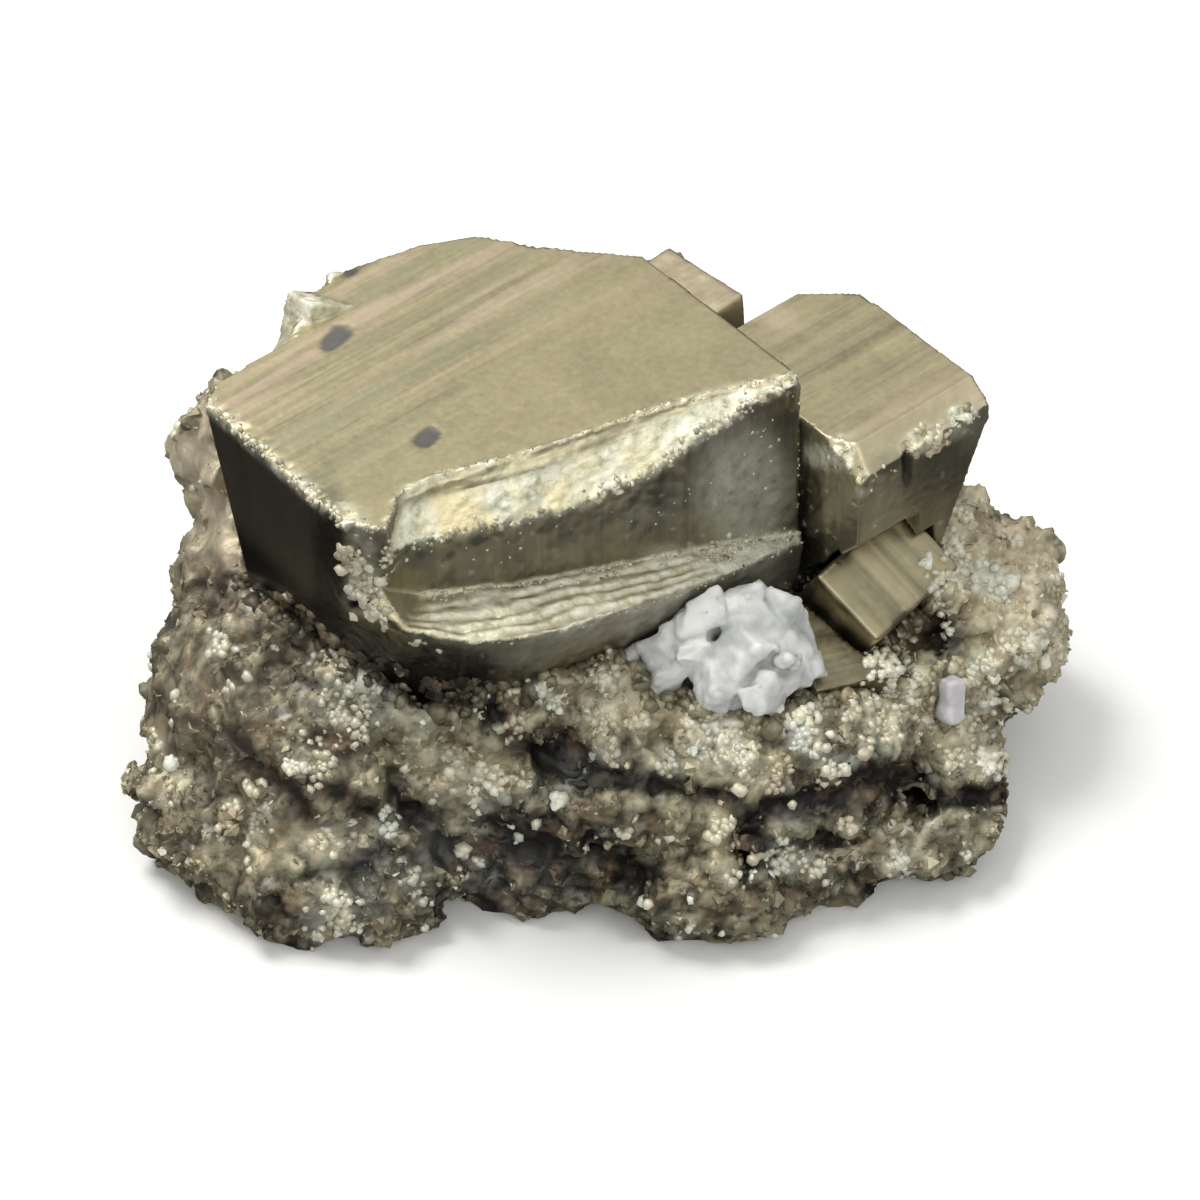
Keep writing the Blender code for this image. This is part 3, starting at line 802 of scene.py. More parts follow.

# Matrix
# Clefts and pits, cut in and darkened with painted shade, as lines in pixels on the side that the camera
# sees, with half width in pixels and depth.
CLEFTS = [
    ([(238, 748), (262, 772), (296, 802), (303, 818)], 10, 1.0),
    ([(300, 782), (345, 795), (385, 812)], 8, 0.6), ([(405, 808), (432, 828), (444, 852)], 9, 0.9),
    ([(392, 772), (390, 800)], 7, 0.9), ([(213, 590), (214, 610)], 6, 0.8),
    ([(318, 738), (345, 748)], 7, 0.5), ([(488, 698), (508, 735), (548, 762), (596, 782)], 8, 0.8),
    ([(562, 742), (590, 764), (622, 778)], 8, 0.7),
    ([(628, 744), (640, 776), (690, 790), (738, 802)], 8, 0.7),
    ([(744, 806), (748, 836), (762, 858)], 15, 0.35),
    ([(770, 806), (830, 800), (880, 782), (915, 782)], 10, 0.8), ([(900, 784), (924, 784)], 15, 0.3),
    ([(938, 796), (985, 796), (1004, 790)], 8, 0.6), ([(912, 628), (944, 640)], 20, 0.4),
    ([(575, 840), (612, 862), (640, 872)], 12, 0.7), ([(500, 835), (540, 850)], 12, 0.5),
    ([(765, 722), (768, 742)], 7, 0.5), ([(1000, 700), (1022, 742)], 7, 0.5),
    ([(860, 880), (880, 892)], 8, 0.4), ([(450, 905), (486, 912)], 8, 0.4),
]

# Clumps of pale grains, as the camera sees them: centre x and y and radius in pixels, number of grains,
# their size, frost, and tint.
CLUMPS = [
    (222, 642, 13, 12, 0.75, 0.55, 0.2), (278, 647, 4, 2, 0.6, 0.6, 0.0), (228, 690, 6, 3, 0.7, 0.4, 0.3),
    (172, 762, 3, 3, 0.95, 1.0, 0.0), (155, 740, 12, 7, 0.7, 0.3, 0.3),
    (340, 664, 26, 34, 0.6, 0.35, 0.0), (345, 712, 32, 44, 0.6, 0.42, 0.0),
    (372, 690, 8, 6, 0.6, 0.6, 0.0), (296, 765, 9, 8, 0.6, 0.75, 0.0), (320, 768, 22, 20, 0.6, 0.35, 0.0),
    (262, 820, 17, 16, 0.7, 0.5, 0.1), (230, 806, 9, 5, 0.7, 0.45, 0.2), (219, 836, 6, 3, 0.7, 0.5, 0.0),
    (328, 840, 20, 16, 0.7, 0.5, 0.0), (362, 838, 12, 6, 0.7, 0.4, 0.5),
    (388, 822, 14, 16, 0.6, 0.75, -0.25), (402, 858, 5, 3, 0.6, 0.6, 0.0),
    (332, 922, 26, 44, 0.62, 0.62, -0.1), (336, 900, 12, 12, 0.6, 0.75, 0.0),
    (415, 882, 15, 15, 0.6, 0.5, 0.0), (478, 862, 6, 4, 0.55, 0.5, 0.0), (462, 850, 4, 3, 1.0, 1.0, 0.0),
    (462, 876, 8, 5, 0.6, 0.3, 0.5), (436, 708, 13, 14, 0.65, 0.8, 0.0), (456, 722, 8, 6, 0.6, 0.7, 0.0),
    (450, 758, 12, 8, 0.6, 0.35, 0.3), (484, 788, 20, 20, 0.65, 0.75, 0.0),
    (520, 778, 12, 9, 0.65, 0.6, 0.0), (440, 786, 14, 9, 0.7, 0.3, 0.5),
    (515, 730, 14, 12, 0.6, 0.3, 0.4), (540, 690, 15, 16, 0.6, 0.6, 0.0),
    (558, 700, 9, 9, 0.6, 0.85, 0.0), (529, 671, 3, 3, 0.95, 1.0, 0.0), (560, 803, 4, 4, 1.0, 1.0, 0.0),
    (622, 832, 6, 4, 0.7, 0.8, 0.0), (605, 672, 18, 22, 0.7, 0.4, 0.1), (640, 722, 9, 6, 0.65, 0.6, 0.2),
    (604, 720, 12, 8, 0.6, 0.3, 0.4), (688, 724, 8, 5, 0.75, 0.75, 0.0), (714, 718, 9, 6, 0.65, 0.5, 0.1),
    (612, 752, 16, 10, 0.6, 0.55, -0.1), (668, 764, 14, 12, 0.65, 0.6, 0.1),
    (724, 750, 24, 34, 0.6, 0.5, -0.1), (746, 766, 12, 10, 0.6, 0.7, 0.0),
    (740, 790, 5, 3, 0.7, 0.7, 0.2), (780, 778, 16, 14, 0.65, 0.3, 0.5),
    (798, 714, 19, 26, 0.7, 0.9, -0.05), (806, 742, 14, 18, 0.6, 0.8, -0.35),
    (832, 768, 15, 13, 0.7, 0.55, 0.3), (850, 716, 9, 5, 0.6, 0.45, 0.4), (866, 745, 8, 5, 0.7, 0.4, 0.4),
    (722, 824, 12, 12, 0.6, 0.6, 0.0), (714, 840, 6, 4, 0.85, 0.8, 0.1),
    (782, 858, 17, 24, 0.65, 0.65, 0.05), (815, 866, 13, 13, 0.7, 0.6, -0.05),
    (848, 826, 9, 6, 0.7, 0.5, 0.5), (740, 872, 14, 10, 0.6, 0.3, 0.2), (770, 938, 5, 3, 0.6, 0.8, 0.0),
    (650, 938, 4, 2, 0.6, 0.8, 0.0), (680, 940, 8, 4, 0.6, 0.5, 0.2), (890, 672, 24, 48, 0.62, 0.75, 0.0),
    (868, 658, 8, 8, 0.6, 0.8, 0.0), (902, 688, 20, 26, 0.62, 0.7, 0.0),
    (878, 702, 14, 14, 0.62, 0.6, 0.1), (912, 690, 12, 14, 0.6, 0.6, 0.1),
    (888, 732, 14, 13, 0.6, 0.55, 0.0), (975, 575, 17, 22, 0.65, 0.7, -0.15),
    (1006, 585, 15, 20, 0.7, 0.75, -0.1), (940, 598, 13, 15, 0.65, 0.7, -0.1),
    (925, 562, 7, 5, 0.85, 0.85, 0.0), (953, 548, 12, 12, 0.8, 0.6, 0.15),
    (948, 580, 14, 22, 0.65, 0.5, 0.1), (692, 690, 10, 10, 0.6, 0.4, 0.0),
    (963, 512, 12, 9, 0.8, 0.6, 0.15), (1024, 645, 17, 26, 0.7, 0.85, -0.2),
    (1044, 662, 3, 3, 1.0, 1.0, -0.1), (974, 670, 16, 18, 0.7, 0.6, 0.0),
    (992, 698, 11, 10, 0.7, 0.75, 0.0), (960, 760, 15, 17, 0.6, 0.6, -0.05),
    (996, 762, 17, 20, 0.7, 0.7, 0.1), (1006, 742, 10, 8, 0.7, 0.5, 0.2),
    (1030, 722, 12, 9, 0.7, 0.45, 0.25), (975, 720, 15, 12, 0.65, 0.4, 0.25),
    (1014, 545, 8, 5, 0.8, 0.4, 0.5), (1056, 576, 7, 4, 0.7, 0.75, 0.0),
    (1048, 628, 10, 6, 0.8, 0.35, 0.1), (895, 858, 12, 12, 0.65, 0.65, 0.0),
    (905, 880, 15, 16, 0.65, 0.6, -0.05), (905, 828, 9, 6, 0.65, 0.5, 0.0),
    (965, 858, 6, 3, 0.6, 0.6, 0.0),
]
CLUMP_MARKS = [(x, y, r * 1.25, r * 1.1, 0, frost, tint) for x, y, r, _, _, frost, tint in CLUMPS]

# The duller, paler crust behind the large crystal's left end: centre, radii and turn, then frost.
KNOB_MARKS = [(190, 430, 60, 75, 0, 0.12), (215, 515, 40, 45, 0, 0.06)]

# The matrix's regions as the camera sees them: centre and radius in pixels, tone added and tint added. The
# dark regions at (300, 640), (410, 660) and (470, 660) are painted shadow under the large crystal's overhang,
# and the one at (815, 605) is painted shade in the hole between the crystals.
REGIONS = [
    (190, 700, 150, -0.05, 0.12), (250, 600, 60, -0.08, 0.05), (345, 690, 50, 0.12, 0.0),
    (250, 850, 80, 0.1, 0.05), (360, 880, 40, -0.08, -0.25), (395, 702, 24, 0.06, -0.55),
    (430, 840, 24, 0.04, -0.4), (575, 778, 24, 0.02, -0.4), (790, 828, 20, 0.18, -0.5),
    (190, 440, 75, 0.12, 0.5), (215, 520, 50, 0.12, 0.4), (1010, 630, 100, 0.38, 0.03),
    (960, 520, 60, 0.18, 0.15), (1020, 540, 40, -0.05, 0.45), (1040, 620, 40, 0.02, 0.25),
    (560, 860, 80, -0.16, -0.05), (660, 900, 90, -0.03, 0.0), (700, 860, 50, 0.06, 0.0),
    (480, 870, 60, -0.12, -0.15), (860, 770, 40, -0.14, -0.05), (840, 820, 50, -0.1, -0.05),
    (960, 830, 50, -0.1, 0.0), (300, 640, 70, -0.1, 0.0), (410, 660, 60, -0.26, 0.05),
    (470, 660, 50, -0.2, 0.0), (260, 930, 60, -0.14, 0.0), (455, 762, 62, 0.24, 0.0),
    (720, 760, 60, 0.33, 0.0), (880, 860, 60, 0.06, 0.0), (620, 740, 40, 0.1, -0.1),
    (880, 700, 40, 0.2, 0.0), (600, 690, 50, 0.16, 0.0), (960, 760, 60, 0.16, 0.0),
    (815, 605, 24, -0.45, 0.0),
]

# Smoother parts, where the grains are fine: centre and radius in pixels.
SMOOTH = [(190, 440, 90), (215, 530, 60), (180, 680, 70), (300, 850, 40), (400, 700, 26), (430, 840, 22)]


def regional(places, facing):
    """Tone and tint added in each region of the side that the camera sees, some of it painted shade."""
    tone, tint = np.zeros((2, len(places)))
    for (tone_and_painted_light, more_tint), share in near_spots(places, facing, REGIONS):
        tone += tone_and_painted_light * share
        tint += more_tint * share
    return tone, tint


def smoothness(places, facing):
    smooth = np.zeros(len(places))
    for _, share in near_spots(places, facing, SMOOTH):
        smooth = np.maximum(smooth, share)
    return smooth


def cleft_depth(places, facing):
    """The depth of the clefts at each place, and from 0 to 1 how far it lies inside one: its painted shade.
    """
    x, y = pixels_of(places)
    wander = noise(places * 0.8, 490) * 4
    deepest = np.zeros(len(places))
    inside = np.zeros(len(places))
    for line, half, depth in CLEFTS:
        near = np.full(len(places), 1e9)
        for (x0, y0), (x1, y1) in zip(line[:-1], line[1:]):
            run, rise = x1 - x0, y1 - y0
            along = np.clip(((x - x0) * run + (y - y0) * rise) / (run**2 + rise**2), 0, 1)
            near = np.minimum(near, np.hypot(x - x0 - along * run, y - y0 - along * rise))
        share = np.exp(-(((near + wander) / (half * 1.35)) ** 2)) * facing
        deepest = np.maximum(deepest, 1.2 * depth * share)
        inside = np.maximum(inside, share)
    return deepest, inside


MATRIX_VOXEL = 0.34
# Nearer to a crystal than this, the matrix reaches the crystal and a little into it.
GRIP = 0.62


def matrix_surface():
    """The matrix's fine surface with its relief and clefts, and the tree of its CAD surface."""
    obj, cad = remeshed("matrix_surface", welded_copy("matrix"), MATRIX_VOXEL)
    places, _, _ = nearest_on(cad, places_of(obj.data))
    set_places(obj.data, places)
    normals = normals_of(obj.data)
    touch, _, gap = nearest_on(neighbours, places, 2.5)
    free = smoothstep(0.45, 1.6, gap)
    floor_free = smoothstep(0.0, 0.7, places[:, 2])
    facing = camera_facing(normals)

    smooth = smoothness(places, facing)
    lumps = layered(places * 0.22, 500, 2) * 0.42 + layered(places * 0.62, 505, 3) * (0.34 - 0.27 * smooth)
    coarse, coarse_key, coarse_depth = facets(places / 1.5, normals, 510, 0.26, 0.14)
    medium, medium_key, medium_depth = facets(places / 0.8, normals, 540, 0.20, 0.10)
    grooves = -0.16 * (1 - smoothstep(0, 0.3, coarse_depth)) - 0.08 * (1 - smoothstep(0, 0.3, medium_depth))
    relief = np.clip(lumps + (coarse + medium + grooves) * (1 - 0.8 * smooth), -1.0, 0.8)
    scale = (0.25 + 0.75 * free) * floor_free
    depth, inside = cleft_depth(places, facing)
    inward = np.array(FORWARD) * 0.5 - normals * 0.5
    push = normals * (relief * scale)[:, None] + inward * (depth * floor_free * (0.4 + 0.6 * free))[:, None]

    moved = places + push
    gripping = gap < GRIP
    moved[gripping] = (places + (touch - places) * 1.08)[gripping]
    moved[:, 2] = np.where(places[:, 2] < 0.02, places[:, 2], np.maximum(moved[:, 2], 0.0))
    set_places(obj.data, moved)

    tone_and_painted_light, more_tint = regional(moved, facing)
    grain_tone = hashed(coarse_key, 570) * 0.14 + hashed(medium_key, 571) * 0.20 - 0.17
    # Painted light and shade: darker in the clefts and in the hollows of the relief, lighter on its lumps.
    tone = 0.40 + grain_tone + tone_and_painted_light - 0.55 * inside + 0.30 * np.clip(relief, -0.6, 0.6)
    # Painted shade in the grooves between the grains.
    tone -= 0.12 * (1 - smoothstep(0, 0.2, coarse_depth))
    clump_frost, clump_tint = painted(moved, facing, CLUMP_MARKS)
    frost = (smoothstep(0.90, 0.98, hashed(medium_key, 572)) * 0.25 + 0.45 * clump_frost) * (1 - inside)
    frost = np.clip(frost + painted(moved, facing, KNOB_MARKS)[0], 0, 0.8)
    values = {"tone": tone, "frost": frost, "tint": more_tint + 0.5 * clump_tint}
    return dressed(obj, GRAINS, values), cad


neighbours = tree_of([node.data for name, node in NODES.items() if name != "matrix"], MM)
matrix, cad_matrix = matrix_surface()


# Grains
def round_grain():
    """A ball of 20 triangles: its corners, half a unit from its middle, and its faces."""
    bm = bmesh.new()
    bmesh.ops.create_icosphere(bm, subdivisions=1, radius=0.5)
    corners = np.array([v.co[:] for v in bm.verts])
    faces = np.array([[v.index for v in f.verts] for f in bm.faces])
    bm.free()
    return corners, faces


BALL, BALL_FACES = round_grain()


def random_turns(chance, count):
    """Turn matrices that favour no direction."""
    q = chance.normal(size=(count, 4))
    q /= np.linalg.norm(q, axis=1)[:, None]
    w, x, y, z = q.T
    rows = [
        [1 - 2 * (y * y + z * z), 2 * (x * y - z * w), 2 * (x * z + y * w)],
        [2 * (x * y + z * w), 1 - 2 * (x * x + z * z), 2 * (y * z - x * w)],
        [2 * (x * z - y * w), 2 * (y * z + x * w), 1 - 2 * (x * x + y * y)],
    ]
    return np.moveaxis(np.array(rows), 2, 0)


def grain_sizes(chance, count, median, spread, low, high):
    return np.clip(median * np.exp(chance.normal(0, spread, count)), low, high)


def sunk(at, out, sizes, share):
    """The middles of grains that lie on a surface, sunk into it by a share of their size."""
    return at - out * (sizes * share)[:, None]


def grains(name, chance, centres, sizes, values, material, uneven=0.05, rounded=True):
    """Uneven grains as one mesh, with values for each."""
    count = len(centres)
    corners = BALL[None] * chance.uniform(0.7, 1.25, (count, 1, 3))
    corners += chance.normal(0, uneven, (count, len(BALL), 3))
    turns = random_turns(chance, count)
    corners = np.einsum("nij,nkj->nki", turns, corners * sizes[:, None, None]) + centres[:, None, :]
    corners[:, :, 2] = np.maximum(corners[:, :, 2], 0.02)
    faces = BALL_FACES[None] + len(BALL) * np.arange(count)[:, None, None]
    mesh = bpy.data.meshes.new(name)
    mesh.from_pydata(corners.reshape(-1, 3).tolist(), [], faces.reshape(-1, 3).tolist())
    if rounded:
        mesh.shade_smooth()
    mesh.materials.append(material)
    obj = new_object(name, mesh)
    for key, value in values.items():
        set_attribute(obj, key, np.repeat(value, len(BALL)))
    return obj


def surface_sample(obj, chance, count, weight):
    """Random points on an object's surface, with its normals there. weight gives each place its share."""
    mesh = obj.data
    mesh.calc_loop_triangles()
    points = places_of(mesh)[rows_of(mesh.loop_triangles, "vertices", 3, np.int32)]
    cross = np.cross(points[:, 1] - points[:, 0], points[:, 2] - points[:, 0])
    area = np.linalg.norm(cross, axis=1)
    normals = cross / np.maximum(area, 1e-12)[:, None]
    share = area * weight(points.mean(axis=1), normals)
    chosen = chance.choice(len(area), count, p=share / share.sum())
    a, b = chance.random((2, count))
    flip = a + b > 1
    a, b = np.where(flip, 1 - a, a), np.where(flip, 1 - b, b)
    at = points[chosen, 0] + a[:, None] * (points[chosen, 1] - points[chosen, 0])
    at += b[:, None] * (points[chosen, 2] - points[chosen, 0])
    return at, normals[chosen]


def open_matrix(points, normals):
    """1 where the matrix shows: off the base, and outside the crystals' seats."""
    return np.where((points[:, 2] > 0.25) & (gap_to(neighbours, points, 1.0) > 0.5), 1.0, 0.0)


def matrix_grains(name, seed, count, median, spread, limits, depth, tone_at, bright):
    """Grains all over the matrix, in drifts."""
    chance = np.random.default_rng(seed)

    def drift(points, normals):
        clump = noise(points * 0.42, seed + 1) + 0.6 * noise(points * 1.1, seed + 2)
        return open_matrix(points, normals) * (0.15 + smoothstep(-0.2, 0.7, clump))

    at, out = surface_sample(matrix, chance, count, drift)
    sizes = grain_sizes(chance, count, median, spread, *limits)
    sizes = np.minimum(sizes, 0.25 + gap_to(neighbours, at, 2.0) * 0.8)
    shown = camera_facing(out)
    _, inside = cleft_depth(at, shown)
    keep = chance.random(count) > np.maximum(inside * 1.2, 0.85 * smoothness(at, shown))
    at, out, sizes, shown, inside = at[keep], out[keep], sizes[keep], shown[keep], inside[keep]
    count = len(at)
    tone_and_painted_light, more_tint = regional(at, shown)
    region = noise(at * 0.3, seed + 3) * 0.08
    base, base_normals, _ = nearest_on(cad_matrix, at)
    raised = np.clip(np.einsum("ij,ij->i", at - base, base_normals), -0.6, 0.5)
    # Painted light and shade: grains in the clefts are darker, and grains that stand out from the CAD surface
    # lighter.
    tone = tone_at + chance.normal(0, 0.07, count) + tone_and_painted_light + region - 0.3 * inside + 0.30 * raised
    frosted = chance.random(count) < bright + 0.25 * tone_and_painted_light
    frost = np.where(frosted, chance.uniform(0.2, 0.8, count), 0.0)
    tint = more_tint + np.where(chance.random(count) < 0.12, chance.uniform(0.1, 0.5, count), 0.0)
    values = {"tone": tone, "frost": frost, "tint": tint}
    centres = sunk(at, out, sizes, depth)
    return grains(name, chance, centres, sizes, values, GRAINS, uneven=0.11, rounded=False)


# Where the large crystal leaves the matrix in front, as x and y in pixels.
FOOT_X = (300, 340, 380, 430, 480, 520, 560, 640)
FOOT_Y = (592, 622, 652, 672, 680, 684, 672, 650)


def seam_grains():
    """Grains of the matrix that grip the crystals where they leave it."""
    chance = np.random.default_rng(14)
    rock = tree_of([matrix.data])

    def near_crystals(points, normals):
        far = gap_to(neighbours, points, 2.0)
        return np.where((points[:, 2] > 1.0) & (far > 0.3) & (far < 1.1), 1.0, 0.0)

    def foot(points, normals):
        x, y = pixels_of(points)
        return np.where((y > np.interp(x, FOOT_X, FOOT_Y)) & (gap_to(rock, points, 3.0) < 2.4), 1.0, 0.0)

    samples = surface_sample(matrix, chance, 900, near_crystals), surface_sample(large, chance, 650, foot)
    at, out = [np.concatenate(both) for both in zip(*samples)]
    sizes = grain_sizes(chance, len(at), 0.85, 0.3, 0.45, 1.5)
    tone_and_painted_light, more_tint = regional(at, camera_facing(out))
    values = {
        "tone": 0.34 + chance.normal(0, 0.07, len(at)) + tone_and_painted_light,
        "frost": np.where((chance.random(len(at)) < 0.04) & (more_tint > -0.2), 0.6, 0.0),
        "tint": more_tint,
    }
    return grains("seam_grains", chance, sunk(at, out, sizes, 0.15), sizes, values, GRAINS, uneven=0.09)


def pale_clumps():
    """The pale clumps, and more of the same on the sides that the camera doesn't see."""
    chance = np.random.default_rng(21)
    carriers = tree_of([matrix.data, small.data, low.data])
    centres, sizes, frosts, tints = [], [], [], []
    for x, y, radius, number, size, frost, tint in CLUMPS:
        for dx, dy in chance.normal(0, radius * 0.55, (round(number * 1.3), 2)):
            point, normal = seen_at(carriers, x + dx, y + dy)
            if point is None:
                continue
            grain = size * math.exp(chance.normal(0, 0.18))
            centres.append(np.array(point) - np.array(normal) * grain * chance.uniform(0.0, 0.22))
            sizes.append(grain)
            frosts.append(frost * chance.uniform(0.6, 1.2))
            tints.append(tint * chance.uniform(0.3, 1.3))

    def hidden(points, normals):
        clump = noise(points * 0.5, 25) + 0.5 * noise(points * 1.3, 26)
        away = 1 - camera_facing(normals)
        return open_matrix(points, normals) * away * smoothstep(0.35, 0.7, clump)

    at, out = surface_sample(matrix, chance, 900, hidden)
    more_sizes = grain_sizes(chance, len(at), 0.66, 0.2, 0.4, 1.0)
    centres = np.concatenate([centres, sunk(at, out, more_sizes, 0.12)])
    sizes = np.concatenate([sizes, more_sizes])
    values = {
        "tone": np.full(len(sizes), 0.62),
        "frost": np.clip(np.concatenate([frosts, chance.uniform(0.3, 0.9, len(at))]), 0, 1),
        "tint": np.concatenate([tints, chance.uniform(-0.2, 0.3, len(at))]),
    }
    return grains("pale_clumps", chance, centres, sizes, values, GRAINS)


# Lines of crumbs that lie beyond this u are on the right crystal.
RIGHT_CRYSTAL_U = 11.0


def crumb_lines():
    """The broken edges, in the crystals' axes: a line, its crumbs per millimetre, their spread and sizes."""
    u, top_v, low_v, low_z, inner, outer = FRONT.T

    def front(v, z, start=1):
        return np.stack([u, v, np.broadcast_to(z, len(u))], 1)[start:]

    def falling(left, right):
        return np.interp(u, LEDGE_ENDS, (left, right))

    return [
        (front(top_v, LARGE_TOP - 0.05), 5, 0.12, (0.10, 0.26)),
        (front(low_v, low_z), 10, 0.28, (0.16, 0.55)),
        (front(inner + 0.2, falling(25.3, 19.4), 2), 10, 0.28, (0.14, 0.42)),
        (front(outer, falling(25.4, 18.9), 2), 3, 0.16, (0.10, 0.26)),
        ([(-20.0, -15.3, 33), (-20.0, -1.2, 33), (-18.6, 1.3, 33)], 11, 0.32, (0.14, 0.50)),
        ([(-20.1, -1.0, 30.5), (-19.7, 0.2, 27.5), (-19.0, 1.0, 25.2)], 34, 0.55, (0.35, 0.95)),
        ([(-18.6, 1.3, 32.0), (-18.2, 1.0, 29.5)], 12, 0.4, (0.2, 0.5)),
        ([(-18.0, 2.8, 24.6), (-17.2, 3.6, 23.8)], 8, 0.3, (0.3, 0.55)),
        ([(12.2, 12.6, 27.6), (22.0, 12.9, 27.0)], 4, 0.3, (0.14, 0.4)),
        ([(16.4, 12.4, 27.6), (18.8, 12.8, 27.0)], 16, 0.4, (0.4, 1.1)),
        ([(20.2, 12.4, 27.9), (21.2, 12.8, 27.6)], 8, 0.25, (0.4, 0.9)),
        ([(11.5, 9.8, 28.4), (12.2, 12.4, 27.2)], 8, 0.3, (0.16, 0.5)),
        ([(10.8, 6.9, 33), (10.8, 7.5, 27), (10.8, 8.2, 20)], 3, 0.2, (0.12, 0.3)),
        ([(3.2, 6.6, 21.2), (5.2, 7.6, 20.7)], 26, 0.5, (0.2, 0.6)),
        ([(7.6, 6.7, 30.5), (7.9, 7.0, 27.5), (8.6, 7.4, 24.0)], 4, 0.6, (0.12, 0.3)),
        ([(-16.0, 1.0, 28.0), (6.0, 6.4, 26.0)], 1.6, 1.0, (0.12, 0.26)),
    ]


def edge_crumbs():
    """Small grains along the crystals' broken edges."""
    chance = np.random.default_rng(31)
    large_tree, right_tree = tree_of([large.data]), tree_of([right.data])
    centres, sizes = [], []
    for line, per_mm, jitter, (low_size, high_size) in crumb_lines():
        line = np.asarray(line, float)
        steps = np.linalg.norm(np.diff(line, axis=0), axis=1)
        reach = np.concatenate([[0], np.cumsum(steps)])
        count = int(reach[-1] * per_mm)
        at = chance.uniform(0, reach[-1], count)
        spots = np.stack([np.interp(at, reach, line[:, axis]) for axis in range(3)], 1)
        clump = smoothstep(-0.5, 0.5, noise(np.stack([at * 0.9, at * 0, at * 0], 1), count))
        spots += chance.normal(0, jitter, (count, 3))
        keep = chance.random(count) < 0.35 + 0.65 * clump
        carrier = right_tree if line[:, 0].min() > RIGHT_CRYSTAL_U else large_tree
        points, out, _ = nearest_on(carrier, spots[keep] @ LEVEL_AXES + MOVE)
        size = np.clip(chance.gamma(2.2, 0.3, len(points)), 0, 1) * (high_size - low_size) + low_size
        centres.append(sunk(points, out, size, 0.15))
        sizes.append(size)
    centres, sizes = np.concatenate(centres), np.concatenate(sizes)
    count = len(centres)
    values = {
        "tone": chance.uniform(0.35, 0.8, count),
        "frost": np.where(chance.random(count) < 0.8, chance.uniform(0.1, 0.7, count), 0.0),
        "tint": np.full(count, 0.15),
    }
    return grains("edge_crumbs", chance, centres, sizes, values, GRAINS, uneven=0.07)


seams = seam_grains()
coarse_grains = matrix_grains("matrix_coarse_grains", 11, 3200, 0.78, 0.26, (0.45, 1.25), 0.38, 0.43, 0.035)
fine_grains = matrix_grains("matrix_fine_grains", 12, 6000, 0.46, 0.25, (0.28, 0.8), 0.32, 0.44, 0.05)
clumps = pale_clumps()
crumbs = edge_crumbs()


# White grains
def white_piece(node, voxel, rounds, amount, blocky, material):
    """A piece of the white mineral: softened, then worn, and broken into blocks."""
    obj, _ = remeshed(f"{node}_surface", welded_copy(node), voxel)
    softened(obj.data, rounds)
    at, out = places_of(obj.data), normals_of(obj.data)
    wear = (layered(at * 0.8, 610, 3) + 0.3) * amount
    blocks, _, depth = facets(at / 2.3, out, 620, 0.75, 0.26)
    wear += (blocks - 0.10 * (1 - smoothstep(0, 0.15, depth))) * blocky
    set_places(obj.data, at + out * wear[:, None])
    softened(obj.data, 3)
    return dressed(obj, material, {})


def sugar():
    """Small white grains on the cluster and at its foot."""
    chance = np.random.default_rng(41)
    at, out = surface_sample(cluster, chance, 26, lambda points, normals: normals[:, 2] > -0.3)
    sizes = grain_sizes(chance, len(at), 1.3, 0.3, 0.7, 2.2)
    return grains("white_small_grains", chance, sunk(at, out, sizes, 0.42), sizes, {}, WHITE)


cluster = white_piece("white_cluster", 0.16, 5, 0.20, 0.6, WHITE)
chip = white_piece("white_chip", 0.10, 16, 0.14, 0.2, LILAC)
white_grains = sugar()

# Frame
show(matrix, ["matrix"])
for piece in (coarse_grains, fine_grains, seams, clumps):
    show(piece)
show(large, ["large_crystal"])
show(right, ["right_crystal"])
show(small, ["small_crystal"])
show(low, ["low_crystal"])
show(crumbs)
show(cluster, ["white_cluster"])
show(chip, ["white_chip"])
show(white_grains)


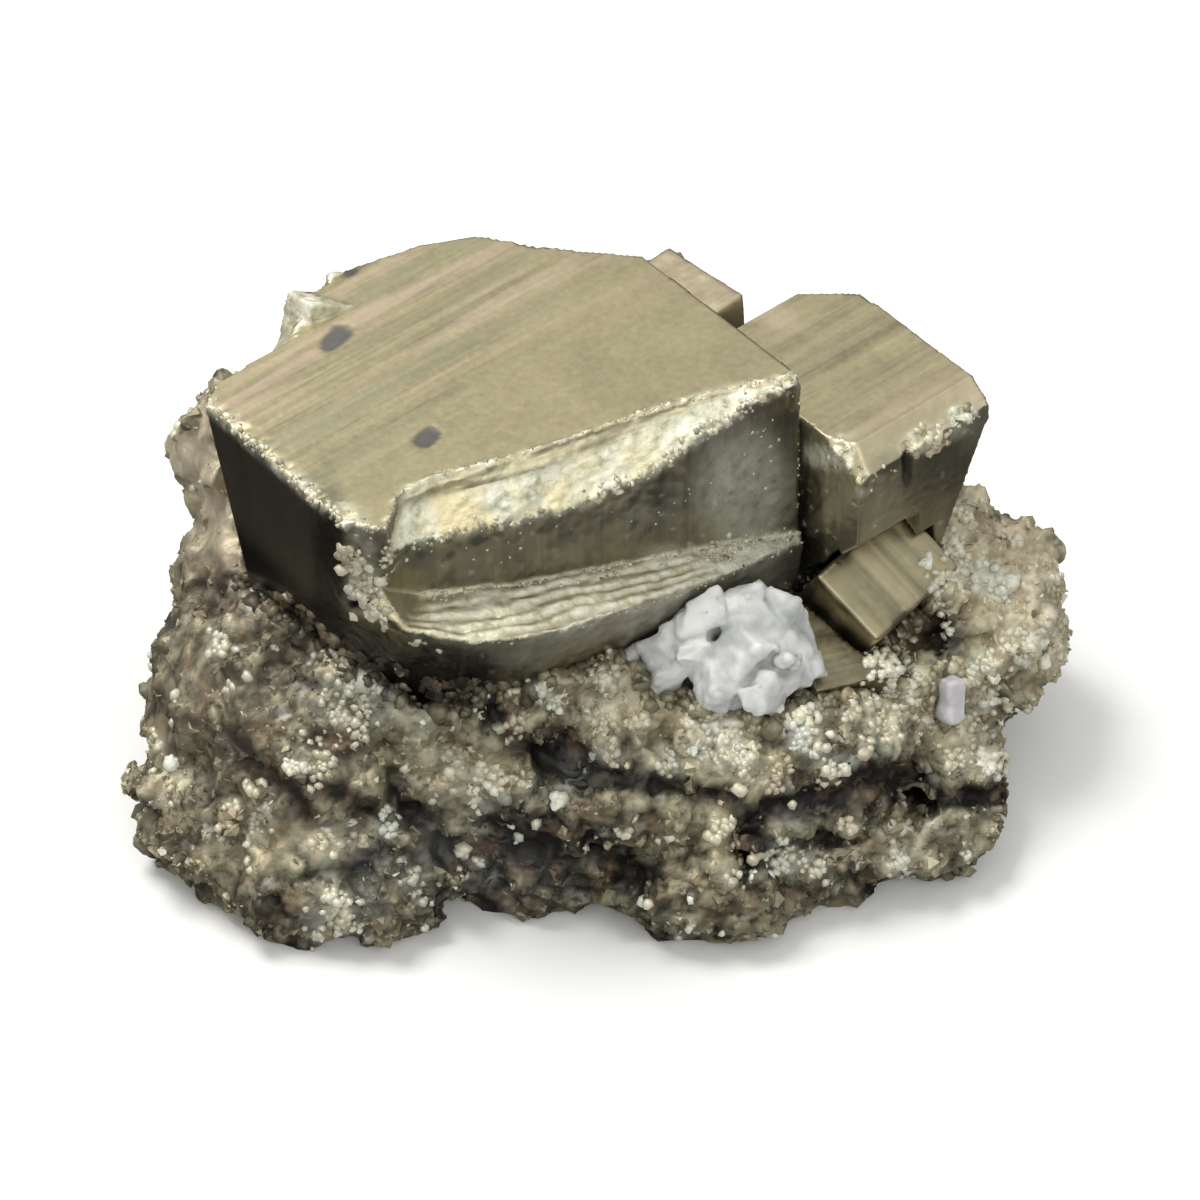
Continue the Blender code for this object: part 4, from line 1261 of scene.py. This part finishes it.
# Studio, in metres
def floor():
    mesh = bpy.data.meshes.new("floor")
    bm = bmesh.new()
    bmesh.ops.create_grid(bm, x_segments=8, y_segments=8, size=3.0)
    bm.to_mesh(mesh)
    bm.free()
    obj = new_object("floor", mesh)
    pale = {"Base Color": (0.92, 0.92, 0.91, 1), "Roughness": 0.9, "Specular IOR Level": 0.1}
    mesh.materials.append(Nodes(bpy.data.materials.new("floor")).shade(pale))
    obj.visible_glossy = False


def softbox(name, place, size, power, colour=(1, 1, 1)):
    light = bpy.data.lights.new(name, "AREA")
    light.shape = "RECTANGLE"
    light.size, light.size_y = size
    light.energy = power
    light.color = colour
    obj = new_object(name, light)
    obj.location = place
    obj.rotation_euler = (AIM - Vector(place)).to_track_quat("-Z", "Y").to_euler()


# The sky's heights, from 0 straight down to 1 straight up, and its greys there at the left and at the right.
SKY_HEIGHTS = (0.0, 0.42, 0.56, 0.72, 1.0)
SKY_GREYS = [(0.02, 0.04, 0.30, 0.66, 0.80), (0.10, 0.15, 0.40, 0.66, 0.80)]


def studio_world():
    """A sky that is bright above and dim below the level of the floor, most of all to the left."""
    world = bpy.data.worlds.new("studio")
    bpy.context.scene.world = world
    n = Nodes(world)
    way = n.add("ShaderNodeSeparateXYZ", {"Vector": n.add("ShaderNodeTexCoord").outputs["Generated"]})
    height, rightness = n.scaled(way.outputs["Z"], 0.5, 0.5), n.scaled(way.outputs["X"], 0.5, 0.5)
    skies = []
    for greys in SKY_GREYS:
        colours = [(grey, grey, grey * 0.985) for grey in greys]
        skies.append(n.ramp(height, list(zip(SKY_HEIGHTS, colours))))
    n.put(n.mix(rightness, *skies), n.tree.nodes["Background"].inputs["Color"])


def camera():
    data = bpy.data.cameras.new("camera")
    data.sensor_width = 36.0
    data.lens = data.sensor_width * FOCAL_PIXELS / FRAME_PIXELS
    data.clip_start = 0.01
    obj = new_object("camera", data)
    obj.location = CAMERA_AT
    obj.rotation_euler = FORWARD.to_track_quat("-Z", "Y").to_euler()
    bpy.context.scene.camera = obj


floor()
softbox("key", (-0.25, 0.12, 0.60), (0.26, 0.26), 2.7, (1.0, 0.985, 0.95))
softbox("front", (0.25, -0.50, 0.55), (0.5, 0.3), 0.9)
studio_world()
camera()
bpy.context.scene.view_settings.view_transform = "Standard"
